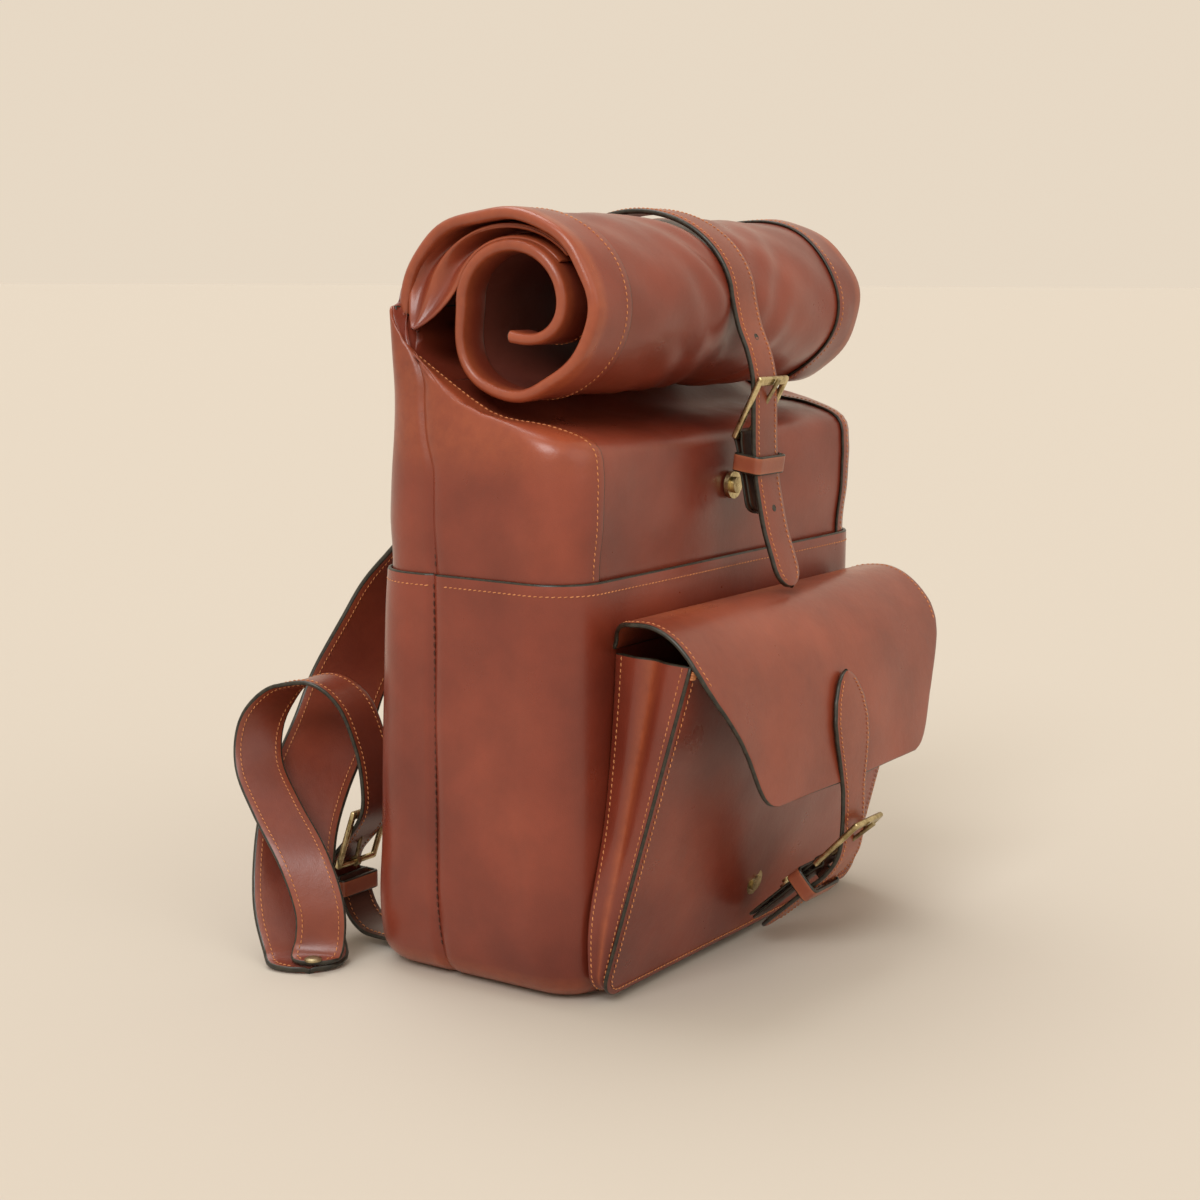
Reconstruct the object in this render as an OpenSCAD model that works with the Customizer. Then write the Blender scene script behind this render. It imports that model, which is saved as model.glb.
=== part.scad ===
// Leather roll-top backpack: a boxy lower body, a soft upper body whose mouth is rolled
// forward and strapped down, a wedge pocket with a flap, and two shoulder straps.
// X runs across the bag, the front faces -Y, and the flat underside lies on Z = 0.

/* [Body] */
// Width across the side panels
body_w = 334; // [326:2:340]
// Distance from the axis plane to the front panel
front_y = 79; // [77:0.5:80]
// Distance from the axis plane to the back panel at the base
back_base = 73; // [71:0.5:75]
// Height of the seam where the upper body overlaps into the lower body
waist_z = 232; // [228:1:236]
// Radius of the upright corners
corner_r = 30; // [24:1:32]
// Radius of the turned bottom edge
edge_r = 16; // [12:1:18]
// Thickness of the body leather
leather = 2.2; // [1.8:0.1:2.3]

/* [Rolled top] */
// Half the length of the roll
roll_half = 151; // [140:1:155]
// Thickness of each rolled layer
roll_leather = 2.2; // [1.8:0.1:2.4]

/* [Front pocket] */
// Width of the pocket
pocket_w = 280; // [260:2:284]
// Radius of the pocket's lower corners
pocket_r = 14; // [10:1:24]
// Thickness of the flap
flap_t = 2.6; // [2:0.1:3]

/* [Straps and buckles] */
// Width of the closing straps
strap_w = 25; // [22:1:26]
// Thickness of the closing straps
strap_t = 3; // [2.6:0.1:3.2]
// Width of the shoulder straps
shoulder_w = 46; // [40:1:48]
// Width of the adjusting straps
adjust_w = 27; // [22:1:28]
// Length of a buckle frame between its bars
frame_len = 36; // [34:1:37]
// Radius of the brass wire of a buckle
wire_r = 1.7; // [1.4:0.1:1.8]
// Radius of a magnetic snap
snap_r = 7; // [6:0.5:8]

/* [Hidden] */
$fn = 48;

gap = 0.3;                       // clearance left between neighbouring pieces
lap = leather + gap;             // inset of the upper body inside the lower body
lap_h = 10;                      // height of that overlap
base_taper = 11;                 // how far each side draws in at the base
taper_z = 60;                    // height at which the sides reach full width
back_lean = 0.055;               // forward lean of the back panel
seam_y = 14;                     // side seam of the lower body
seam_neck_y = 41;                // side seam where it meets the roll
arc_steps = 5;                   // segments in an upright corner
back_tilt = atan(back_lean);
lining_t = 0.8;
lining_in = leather * 2 + 1.2;   // inset of the lining from the outer face

// ---- general helpers ----
function smooth(t) = let (u = min(max(t, 0), 1)) u * u * (3 - 2 * u);
function unit(v) = v / norm(v);

// Catmull-Rom curve through rows of numbers, with n steps in each span
function blend4(a, b, c, d, t) = 0.5 * (2 * b + (c - a) * t + (2 * a - 5 * b + 4 * c - d) * t * t
    + (3 * b - a - 3 * c + d) * t * t * t);
function curve(rows, n) = let (last = len(rows) - 1) concat(
    [for (i = [0 : last - 1], k = [0 : n - 1])
        blend4(rows[max(i - 1, 0)], rows[i], rows[i + 1], rows[min(i + 2, last)], k / n)],
    [rows[last]]);

// Closed sheet between two grids of points, both laid out as rows of equal length
module sheet(outer, inner) {
    rows = len(outer);
    cols = len(outer[0]);
    count = rows * cols;
    points = concat([for (row = outer) each row], [for (row = inner) each row]);
    function at(side, i, j) = side * count + i * cols + j;
    function quad(a, b, c, d) = [[a, c, b], [a, d, c]];
    faces = concat(
        [for (i = [0 : rows - 2], j = [0 : cols - 2])
            each quad(at(0, i, j), at(0, i + 1, j), at(0, i + 1, j + 1), at(0, i, j + 1))],
        [for (i = [0 : rows - 2], j = [0 : cols - 2])
            each quad(at(1, i, j), at(1, i, j + 1), at(1, i + 1, j + 1), at(1, i + 1, j))],
        [for (i = [0 : rows - 2])
            each quad(at(0, i, 0), at(1, i, 0), at(1, i + 1, 0), at(0, i + 1, 0))],
        [for (i = [0 : rows - 2])
            each quad(at(0, i + 1, cols - 1), at(1, i + 1, cols - 1), at(1, i, cols - 1), at(0, i, cols - 1))],
        [for (j = [0 : cols - 2])
            each quad(at(0, 0, j + 1), at(1, 0, j + 1), at(1, 0, j), at(0, 0, j))],
        [for (j = [0 : cols - 2])
            each quad(at(0, rows - 1, j), at(1, rows - 1, j), at(1, rows - 1, j + 1), at(0, rows - 1, j + 1))]);
    polyhedron(points, faces);
}

// Flat strap swept along control rows [x, y, z, wx, wy, wz]: a centre and a width direction
module ribbon(rows, width, thick, steps = 3) {
    path = curve(rows, steps);
    last = len(path) - 1;
    function centre(i) = [path[i][0], path[i][1], path[i][2]];
    function tangent(i) = unit(centre(min(i + 1, last)) - centre(max(i - 1, 0)));
    function across(i) = let (t = tangent(i), w = [path[i][3], path[i][4], path[i][5]])
        unit(w - t * (w * t));
    function up(i) = cross(across(i), tangent(i));
    function edge(i, side, face) = centre(i) + across(i) * side * width / 2 + up(i) * face * thick / 2;
    sheet([for (i = [0 : last]) [edge(i, 1, 1), edge(i, -1, 1)]],
          [for (i = [0 : last]) [edge(i, 1, -1), edge(i, -1, -1)]]);
}

// Extrudes a [Y, Z] outline along X, centred on X = 0
module across_x(width) {
    rotate([90, 0, 90]) linear_extrude(width, center = true) children();
}

// Band of constant thickness along a list of [Y, Z] points
function normal2(p, i) = let (last = len(p) - 1, d = unit(p[min(i + 1, last)] - p[max(i - 1, 0)]))
    [-d[1], d[0]];
module band(p, thick) {
    last = len(p) - 1;
    polygon(concat([for (i = [0 : last]) p[i] + normal2(p, i) * thick / 2],
                   [for (i = [last : -1 : 0]) p[i] - normal2(p, i) * thick / 2]));
}

module rounded_rect(w, h, r) {
    for (x = [-1, 1]) for (y = [-1, 1]) translate([x * (w / 2 - r), y * (h / 2 - r)]) circle(r);
    square([w - 2 * r, h], center = true);
    square([w, h - 2 * r], center = true);
}

// ---- body sections: [half width, front y, front z, back y, back z, corner radius, seam y] ----
function back_y(z) = back_base - back_lean * z;
function wall_row(z, inset) =
    let (taper = base_taper * pow(max(0, 1 - z / taper_z), 2))
    [body_w / 2 - taper - inset, -front_y + inset, z, back_y(z) - inset, z, corner_r - inset, seam_y];
function lower_rows(d) = concat(
    [for (a = [0, 30, 60]) wall_row(edge_r - (edge_r - d) * cos(a), edge_r - (edge_r - d) * sin(a))],
    [for (z = [edge_r, 60, 110, 170, waist_z]) wall_row(z, d)]);

// Upper rows: [narrowing, front y, front z, back z, corner radius, lean of the front in degrees]
shoulder_rows = [
    [0, -79, 290, 290, 30, 0],
    [1, -75, 306, 308, 28, 30],
    [3, -50, 316, 330, 22, 70],
    [4, -14, 322.5, 353, 15, 66],
    [5, 30, 352, 377, 8.5, 50]];
function shoulder_row(s, d) = let (t = (s[2] - 290) / 62)
    [body_w / 2 - s[0] - d, s[1] + d * cos(s[5]), s[2] - d * sin(s[5]),
     back_y(s[3]) - d, s[3], s[4] - d, seam_y + (seam_neck_y - seam_y) * t];
function upper_rows(d) = concat(
    [for (z = [waist_z - lap_h, waist_z + 4, 262]) wall_row(z, d)],
    [for (s = shoulder_rows) shoulder_row(s, d)]);

function level(r, y) = r[2] + (r[4] - r[2]) * min(max((y - r[1]) / (r[3] - r[1]), 0), 1);
function on_row(r, x, y) = [x, y, level(r, y)];
// A corner of a section, from the side (0) to the front or back (1)
function corner(r, sx, sy, k) =
    let (a = 90 * k / arc_steps, cx = r[0] - r[5], cy = sy < 0 ? r[1] + r[5] : r[3] - r[5])
    on_row(r, sx * (cx + r[5] * cos(a)), cy + sy * r[5] * sin(a));
// From the side seam round the corner to the front (sy = -1) or back (sy = 1)
function side_run(r, sx, sy) = concat(
    [on_row(r, sx * r[0], r[6] + sy * gap / 2)],
    [for (k = [0 : arc_steps]) corner(r, sx, sy, k)]);
function flat_run(r, sy) = let (x = r[0] - r[5] - gap, y = sy < 0 ? r[1] : r[3])
    [on_row(r, sy * x, y), on_row(r, -sy * x, y)];
function flipped(list) = [for (i = [len(list) - 1 : -1 : 0]) list[i]];
// Half a section from seam to seam, anticlockwise seen from above
function half_run(r, sy) = concat(side_run(r, sy, sy), flipped(side_run(r, -sy, sy)));

module half_panel(rows_out, rows_in, sy) {
    sheet([for (r = rows_in) half_run(r, sy)], [for (r = rows_out) half_run(r, sy)]);
}
module flat_panel(rows_out, rows_in, sy) {
    sheet([for (r = rows_in) flat_run(r, sy)], [for (r = rows_out) flat_run(r, sy)]);
}
// Side panel between a side seam and the seam to a centre panel
module side_panel(sx, sy) {
    outer = [for (r = upper_rows(lap)) side_run(r, sx, sy)];
    inner = [for (r = upper_rows(lap + leather)) side_run(r, sx, sy)];
    if (sx == sy) sheet(inner, outer);
    else sheet([for (r = inner) flipped(r)], [for (r = outer) flipped(r)]);
}

// ---- body pieces ----
module lower_front_panel() {
    color("#8f4630") half_panel(lower_rows(0), lower_rows(leather), -1);
}
module lower_back_panel() {
    color("#8f4630") half_panel(lower_rows(0), lower_rows(leather), 1);
}
module plan_slab(r, margin, z, thick) {
    w = 2 * (r[0] - margin);
    depth = r[3] - r[1] - 2 * margin;
    translate([0, (r[1] + r[3]) / 2, z])
        linear_extrude(thick) rounded_rect(w, depth, r[5] - margin);
}
module base_panel() {
    color("#7a3a28") plan_slab(lower_rows(0)[0], gap, 0, leather);
}
module base_stiffener() {
    color("#5b4a3a") plan_slab(lower_rows(leather)[0], gap, leather + gap, 2.5);
}
module upper_front_panel() {
    color("#94492f") flat_panel(upper_rows(lap), upper_rows(lap + leather), -1);
}
module upper_back_panel() {
    color("#94492f") flat_panel(upper_rows(lap), upper_rows(lap + leather), 1);
}
module upper_left_front_side() {
    color("#8c442e") side_panel(-1, -1);
}
module upper_left_back_side() {
    color("#8c442e") side_panel(-1, 1);
}
module upper_right_front_side() {
    color("#8c442e") side_panel(1, -1);
}
module upper_right_back_side() {
    color("#8c442e") side_panel(1, 1);
}
// Bag of thin cloth that stands inside the body, open at the top
lining_base = 9.5;
lining_top = 286;
module lining_block(inset, z0, z1) {
    r = wall_row(100, lining_in + inset);
    depth = back_y(z1) - lining_in - inset - r[1];
    translate([0, r[1] + depth / 2, z0])
        linear_extrude(z1 - z0) rounded_rect(2 * (r[0] - base_taper), depth, r[5]);
}
module lining() {
    color("#c9b48e") difference() {
        lining_block(0, lining_base, lining_top);
        lining_block(lining_t, lining_base + lining_t, lining_top + 1);
    }
}
// Padded pouch for a laptop on the inside of the back
sleeve_gap = 22;
module laptop_sleeve() {
    y = back_y(lining_top) - lining_in - lining_t - gap;
    color("#6b4a34") translate([0, 0, 18]) linear_extrude(220) difference() {
        translate([-128, y - sleeve_gap - 5]) square([256, sleeve_gap + 5]);
        translate([-124, y - sleeve_gap]) square([248, sleeve_gap + 1]);
    }
}
// Flat cloth pocket on the inside of the front
module slip_pocket() {
    y = -front_y + lining_in + lining_t + gap;
    color("#b9a27c") translate([0, 0, 90]) linear_extrude(110) difference() {
        translate([-85, y]) square([170, 9]);
        translate([-84, y - 1]) square([168, 9]);
    }
}
// Patch that covers the upper ends of the shoulder straps
yoke_z = 328;
module back_yoke() {
    color("#8a4029") translate([0, back_y(yoke_z) - lap + gap, yoke_z]) rotate([back_tilt, 0, 0])
        rotate([-90, 0, 0]) linear_extrude(2.4) rounded_rect(150, 50, 8);
}
handle_rows = [
    [-38, 57, 344, 1, 0, 0], [-38, 61, 334, 1, 0.1, 0], [-35, 67, 322, 0.9, 0, 0.4],
    [-22, 70, 312, 0.45, 0, 0.9], [0, 71, 308, 0, 0, 1], [22, 70, 312, -0.45, 0, 0.9],
    [35, 67, 322, -0.9, 0, 0.4], [38, 61, 334, -1, -0.1, 0], [38, 57, 344, -1, 0, 0]];
module grab_handle() {
    color("#8a4029") ribbon(handle_rows, 14, 3, 3);
}

// ---- rolled top: a spiral in the Y-Z plane that winds forward and in ----
roll_mid = [-17, 378];           // middle of the outer turn
roll_shift = [-10, 2];           // how far the inner turn's middle moves
roll_reach = [63, 50];           // half depth and half height of the outer turn
roll_shrink = [29, 19];          // how much the inner turn loses
roll_gap = 0.8;                  // space between the two layers
function roll_point(a, off) = let (k = smooth((a - 240) / 120), c = roll_mid + roll_shift * k,
        r = roll_reach - roll_shrink * k, fade = 9 * smooth((a - 540) / 100))
    [c[0] + (r[0] + off - fade) * cos(a), c[1] + (r[1] + off - fade * 1.4) * sin(a)];
module roll_layer(from, to, off) {
    points = [for (a = [from : 12 : to]) roll_point(a, off)];
    across_x(2 * roll_half) band(points, roll_leather);
}
roll_off = (roll_leather + roll_gap) / 2;
module roll_back_layer() {
    color("#964a31") roll_layer(6, 630, roll_off);
}
module roll_front_layer() {
    color("#a05a41") roll_layer(0, 600, -roll_off);
}

// ---- closing strap over the roll ----
strap_off = roll_off + roll_leather / 2 + 0.5 + strap_t / 2;
anchor_end = 62;                 // angle on the roll where the anchor gives way to the strap
module closure_anchor() {
    points = [for (a = [8 : 9 : anchor_end]) roll_point(a, strap_off)];
    color("#84402a") across_x(strap_w) band(points, strap_t);
}
closure_bar = [-88, 304];        // lower bar of the closing buckle, as [Y, Z]
closure_tilt = 26.6;               // forward lean of the buckle above that bar
hole_r = 1.8;                    // punched adjusting hole
slot_w = 4.4;                    // opening in the strap for the prong
closure_drop = [[-88, 366], [-94, 352], [-98, 336], [-98.6, 318], [-99, 298], [-101.2, 276.3]];
tail_line = [[-101.3, 275.7], [-104.6, 252], [-108.4, 236], [-111.2, 228]];
closure_line = concat([for (a = [anchor_end + 2 : 9 : 186]) roll_point(a, strap_off)], closure_drop);
module hole_at(y, z) {
    translate([0, y, z]) rotate([90, 0, 0]) cylinder(r = hole_r, h = 14, center = true);
}
module closure_strap() {
    color("#8d4630") difference() {
        across_x(strap_w) band(closure_line, strap_t);
        hole_at(-89, 360);
        translate([-slot_w / 2, -150, 310]) cube([slot_w, 100, 16]);
    }
}
// Free end of the strap, below its keeper, with a round tip
tail_tilt = -17;
module closure_tail() {
    color("#8d4630") {
        difference() {
            across_x(strap_w) band(tail_line, strap_t);
            hole_at(-103, 264);
        }
        translate([0, -111.1, 228.3]) rotate([90 + tail_tilt, 0, 0])
            cylinder(r = strap_w / 2, h = strap_t - 0.4, center = true);
    }
}

// ---- buckle parts, drawn with the lower bar on the X axis and the front towards -Y ----
module wire(a, b, r) {
    d = b - a;
    turn = atan2(norm([d[0], d[1]]), d[2]);
    translate(a) rotate([0, turn, atan2(d[1], d[0])]) cylinder(r = r, h = norm(d));
}
module frame_wire(width) {
    x = width / 2 + 0.6 + wire_r;
    corners = [[-x, 0, 0], [x, 0, 0], [x, 0, frame_len], [-x, 0, frame_len]];
    for (i = [0 : 3]) {
        wire(corners[i], corners[(i + 1) % 4], wire_r);
        translate(corners[i]) sphere(wire_r);
    }
}
module prong_wire() {
    difference() {
        rotate([0, 90, 0]) cylinder(r = wire_r + 1.5, h = 3, center = true);
        rotate([0, 90, 0]) cylinder(r = wire_r + 0.15, h = 4, center = true);
    }
    rotate([5.4, 0, 0]) translate([0, 0, wire_r + 0.6]) cylinder(r = 1.25, h = frame_len - wire_r + 1.2);
}
// Folded leather tab that hangs from the bar, with a notch for the prong
module tab_loop(width, length) {
    difference() {
        union() {
            rotate([0, 90, 0]) cylinder(r = wire_r + 2.3, h = width, center = true);
            translate([-width / 2, -strap_t / 2, -length]) cube([width, strap_t, length]);
        }
        rotate([0, 90, 0]) cylinder(r = wire_r + 0.15, h = width + 2, center = true);
        translate([-2, -10, -8]) cube([4, 20, 20]);
    }
}
module keeper_loop(width, depth) {
    linear_extrude(11, center = true) difference() {
        square([width + 5, depth + 4], center = true);
        square([width + 1.2, depth], center = true);
    }
}
module snap_disc(r, thick) {
    rotate([90, 0, 0]) {
        cylinder(r = r, h = thick * 0.55);
        cylinder(r = r * 0.6, h = thick);
    }
}

module at_closure(tilt) {
    translate([0, closure_bar[0], closure_bar[1]]) rotate([tilt, 0, 0]) children();
}
module closure_buckle_frame() {
    color("#b59a5e") at_closure(closure_tilt) frame_wire(strap_w);
}
module closure_prong() {
    color("#a48a50") at_closure(closure_tilt) prong_wire();
}
closure_tab_tilt = -10.8;
module closure_tab() {
    color("#7d3b27") at_closure(closure_tab_tilt) tab_loop(strap_w - 1, 48);
}
module closure_keeper() {
    color("#93482f") translate([0, -95.6, 288]) rotate([-8, 0, 0]) keeper_loop(strap_w, 14);
}
snap_z = 274;
front_face = -front_y + lap;     // outer face of the upper front panel
module closure_snap_stud() {
    color("#b59a5e") translate([0, -92, snap_z]) rotate([closure_tab_tilt, 0, 0]) mirror([0, 1, 0])
        snap_disc(snap_r, 4.4);
}
module closure_snap_socket() {
    color("#a48a50") translate([0, front_face - gap, snap_z]) snap_disc(snap_r + 1, 5);
}

// ---- front pocket ----
pocket_bottom = [-84, 5];        // lower edge of the pocket front, as [Y, Z]
pocket_top = [-135, 193];        // upper edge of the pocket front
pocket_lean = atan2(pocket_bottom[0] - pocket_top[0], pocket_top[1] - pocket_bottom[1]);
pocket_h = norm(pocket_top - pocket_bottom);
module pocket_outline(margin, top) {
    w = pocket_w - 2 * margin;
    r = pocket_r - margin;
    translate([0, margin]) {
        for (x = [-1, 1]) translate([x * (w / 2 - r), r]) circle(r);
        translate([-w / 2 + r, 0]) square([w - 2 * r, r]);
        translate([-w / 2, r]) square([w, top - margin - r]);
    }
}
module pocket_front() {
    color("#8d4530") translate([0, pocket_bottom[0], pocket_bottom[1]]) rotate([pocket_lean, 0, 0])
        rotate([90, 0, 0]) linear_extrude(leather) pocket_outline(0, pocket_h);
}
// Folded strip that joins the pocket front to the body at both sides and below
module pocket_gusset() {
    color("#86412c") intersection() {
        translate([0, -front_y - gap, pocket_bottom[1]]) rotate([90, 0, 0])
            linear_extrude(70) difference() {
                pocket_outline(1.5, 187);
                pocket_outline(1.5 + leather, 195);
            }
        across_x(pocket_w) polygon([[-front_y, pocket_bottom[1]], pocket_bottom + [gap, 0],
            pocket_top + [gap, 0], [-front_y, pocket_top[1] + 4]]);
    }
}
fold = [-98, 213];               // crease on which the flap lifts, as [Y, Z]
root_line = [[-80.8, 199], [-84, 205.5], [-90, 210], [-97.7, 211.7]];
flap_line = curve([[-98.3, 211.8], [-112, 212], [-126, 206], [-139, 193], [-147.5, 176], [-153, 154],
    [-156, 130], [-157.5, 110]], 2);
module flap_plan() {
    polygon(concat([[-141, 230], [-141, 178]],
        [for (a = [200 : 14 : 270]) [-86 + 20 * cos(a), 130 + 20 * sin(a)]],
        [for (a = [270 : 14 : 340]) [86 + 20 * cos(a), 130 + 20 * sin(a)]], [[141, 178], [141, 230]]));
}
module pocket_flap_root() {
    color("#8a4530") across_x(282) band(root_line, flap_t);
}
module pocket_flap() {
    color("#914a34") intersection() {
        across_x(282) band(flap_line, flap_t);
        translate([0, -60, 0]) rotate([90, 0, 0]) linear_extrude(120) flap_plan();
    }
}
// Strap with a leaf-shaped head sewn to the flap
leaf_line = curve([[-153.2, 170], [-156.9, 154], [-159.6, 130], [-160.6, 104], [-160.6, 82], [-158.5, 66],
    [-151, 53.5], [-140, 43.5], [-124, 29], [-107, 14]], 2);
module leaf_plan() {
    polygon(concat([[0, 172], [8, 166]], [[15, 156], [19, 144], [19, 132], [16, 118], [strap_w / 2, 104],
        [strap_w / 2, 0], [-strap_w / 2, 0], [-strap_w / 2, 104]],
        [[-16, 118], [-19, 132], [-19, 144], [-15, 156], [-8, 166]]));
}
pocket_bar = [-146, 60];         // lower bar of the pocket buckle
pocket_tilt = 43.9;
pocket_tab_tilt = 47.9;
module pocket_strap() {
    color("#8d4630") difference() {
        intersection() {
            across_x(60) band(leaf_line, 2.6);
            translate([0, -60, 0]) rotate([90, 0, 0]) linear_extrude(120) leaf_plan();
        }
        translate([-slot_w / 2, -170, 62]) cube([slot_w, 20, 17]);
    }
}
module at_pocket(tilt) {
    translate([0, pocket_bar[0], pocket_bar[1]]) rotate([tilt, 0, 0]) children();
}
module pocket_buckle_frame() {
    color("#b59a5e") at_pocket(pocket_tilt) frame_wire(strap_w);
}
module pocket_prong() {
    color("#a48a50") at_pocket(pocket_tilt) prong_wire();
}
module pocket_tab() {
    color("#7d3b27") at_pocket(pocket_tab_tilt) tab_loop(strap_w - 1, 66);
}
module pocket_keeper() {
    color("#93482f") at_pocket(pocket_tab_tilt) translate([0, -4.4, -17]) keeper_loop(strap_w, 14);
}
module pocket_snap_stud() {
    color("#b59a5e") at_pocket(pocket_tab_tilt) translate([0, strap_t / 2, -31]) mirror([0, 1, 0])
        snap_disc(snap_r, 4.4);
}
module pocket_snap_socket() {
    color("#a48a50") translate([0, pocket_bottom[0], pocket_bottom[1]]) rotate([pocket_lean, 0, 0])
        translate([0, -leather, 34]) snap_disc(snap_r + 1, 3.5);
}

// ---- shoulder straps: rows of [x, y, z, wx, wy, wz] for the left side ----
root_rows = [[-42, 60, 303, 1, 0, 0], [-42, 63, 296, 1, 0, 0], [-43, 72.4, 286.6, 1, 0, 0]];
shoulder_rows_a = [
    [-43, 74.4, 283, 1, 0, 0], [-45, 92, 258, 1, -0.08, 0], [-54, 124, 214, 0.96, -0.26, 0],
    [-69, 136, 180, 0.9, -0.43, 0], [-86, 145, 146, 0.85, -0.52, 0], [-106, 143, 118, 0.82, -0.56, 0],
    [-131, 138, 92, 0.8, -0.58, 0], [-152.5, 130, 66, 0.79, -0.6, 0], [-170, 117, 32, 0.76, -0.64, 0],
    [-178, 102, 9, 0.7, -0.71, 0], [-186, 92, 2.9, 0.62, -0.78, 0], [-194, 84, 2, 0.58, -0.81, 0]];
adjust_rows = [
    [-192, 83, 5.4, 0.56, -0.83, 0], [-185, 87.5, 6.6, 0.56, -0.83, 0], [-179.5, 88.5, 15, 0.56, -0.83, 0],
    [-177, 91, 34, 0.57, -0.82, 0], [-174, 106, 60, 0.62, -0.78, 0], [-167, 132, 84, 0.7, -0.7, 0],
    [-158, 154, 106, 0.8, -0.55, 0.1], [-149, 159, 130, 0.86, -0.4, 0.1], [-141, 146, 150, 0.9, -0.3, 0.1],
    [-135, 124, 157, 1, 0, 0], [-128, 106, 145, 1, 0, 0], [-124, 96, 120, 1, 0, 0],
    [-124, 91, 98, 1, 0, 0], [-124, 92, 80, 1, 0, 0], [-124, 103.5, 63, 1, 0, 0],
    [-124, 116.4, 48, 1, 0, 0], [-124, 118.6, 34, 1, 0, 0], [-124, 115, 20, 1, 0, 0]];
tab_rows = [
    [-124, 108.6, 42.6, 1, 0, 0], [-124, 109.5, 30, 1, 0, 0], [-124, 104, 16, 1, 0, 0],
    [-124, 94, 8, 1, 0, 0], [-124, 82, 6.5, 1, 0, 0]];
shoulder_bar = [-124, 108.5, 46];
shoulder_tilt = -20;
module at_shoulder(tilt) {
    translate(shoulder_bar) rotate([0, 0, 180]) rotate([tilt, 0, 0]) children();
}
module on_side(sx) {
    if (sx > 0) mirror([1, 0, 0]) children();
    else children();
}
module strap_root(sx) {
    color("#7d3c28") on_side(sx) ribbon(root_rows, shoulder_w, 3.2, 2);
}
module shoulder_strap(sx) {
    color("#8a422c") on_side(sx) ribbon(shoulder_rows_a, shoulder_w, 3.2, 3);
}
module adjusting_strap(sx) {
    color("#8f4730") on_side(sx) difference() {
        ribbon(adjust_rows, adjust_w, 2.6, 3);
        translate([-126.4, 80, 48]) cube([4.8, 50, 26]);
    }
}
module strap_rivet(sx) {
    color("#8c7a56") on_side(sx) translate([-191.5, 83.3, 7.1]) {
        cylinder(r = 5, h = 1);
        translate([0, 0, 1]) cylinder(r1 = 5, r2 = 3.2, h = 0.8);
    }
}
module shoulder_frame(sx) {
    color("#b59a5e") on_side(sx) at_shoulder(shoulder_tilt) frame_wire(adjust_w);
}
module shoulder_prong(sx) {
    color("#a48a50") on_side(sx) at_shoulder(shoulder_tilt) prong_wire();
}
module base_tab(sx) {
    color("#6f3524") on_side(sx) {
        at_shoulder(0) tab_loop(adjust_w - 1, 6);
        ribbon(tab_rows, adjust_w - 2, strap_t - 0.6, 3);
    }
}
module shoulder_keeper(sx) {
    color("#93482f") on_side(sx) translate([-124, 113.4, 32]) keeper_loop(adjust_w, 14);
}
module left_strap_root() { strap_root(-1); }
module left_shoulder_strap() { shoulder_strap(-1); }
module left_adjusting_strap() { adjusting_strap(-1); }
module left_strap_rivet() { strap_rivet(-1); }
module left_buckle_frame() { shoulder_frame(-1); }
module left_prong() { shoulder_prong(-1); }
module left_base_tab() { base_tab(-1); }
module left_keeper() { shoulder_keeper(-1); }
module right_strap_root() { strap_root(1); }
module right_shoulder_strap() { shoulder_strap(1); }
module right_adjusting_strap() { adjusting_strap(1); }
module right_strap_rivet() { strap_rivet(1); }
module right_buckle_frame() { shoulder_frame(1); }
module right_prong() { shoulder_prong(1); }
module right_base_tab() { base_tab(1); }
module right_keeper() { shoulder_keeper(1); }

lower_front_panel();
lower_back_panel();
base_panel();
base_stiffener();
upper_front_panel();
upper_back_panel();
upper_left_front_side();
upper_left_back_side();
upper_right_front_side();
upper_right_back_side();
lining();
laptop_sleeve();
slip_pocket();
back_yoke();
grab_handle();
roll_back_layer();
roll_front_layer();
closure_anchor();
closure_strap();
closure_tail();
closure_buckle_frame();
closure_prong();
closure_tab();
closure_keeper();
closure_snap_stud();
closure_snap_socket();
pocket_front();
pocket_gusset();
pocket_flap_root();
pocket_flap();
pocket_strap();
pocket_buckle_frame();
pocket_prong();
pocket_tab();
pocket_keeper();
pocket_snap_stud();
pocket_snap_socket();
left_strap_root();
left_shoulder_strap();
left_adjusting_strap();
left_strap_rivet();
left_buckle_frame();
left_prong();
left_base_tab();
left_keeper();
right_strap_root();
right_shoulder_strap();
right_adjusting_strap();
right_strap_rivet();
right_buckle_frame();
right_prong();
right_base_tab();
right_keeper();
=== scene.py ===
# %% [markdown]
# # A leather roll-top backpack
# The bag is cut from smooth cognac leather: a boxy lower body, a softer upper body whose mouth is
# rolled forward, a wedge pocket, and straps with painted edges and brass buckles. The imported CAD
# model gives every size, so it is loaded first and everything is built around it.

# %% Load the frame
import math
import bpy
import bmesh
import numpy as np
from mathutils import Matrix, Vector


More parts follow.
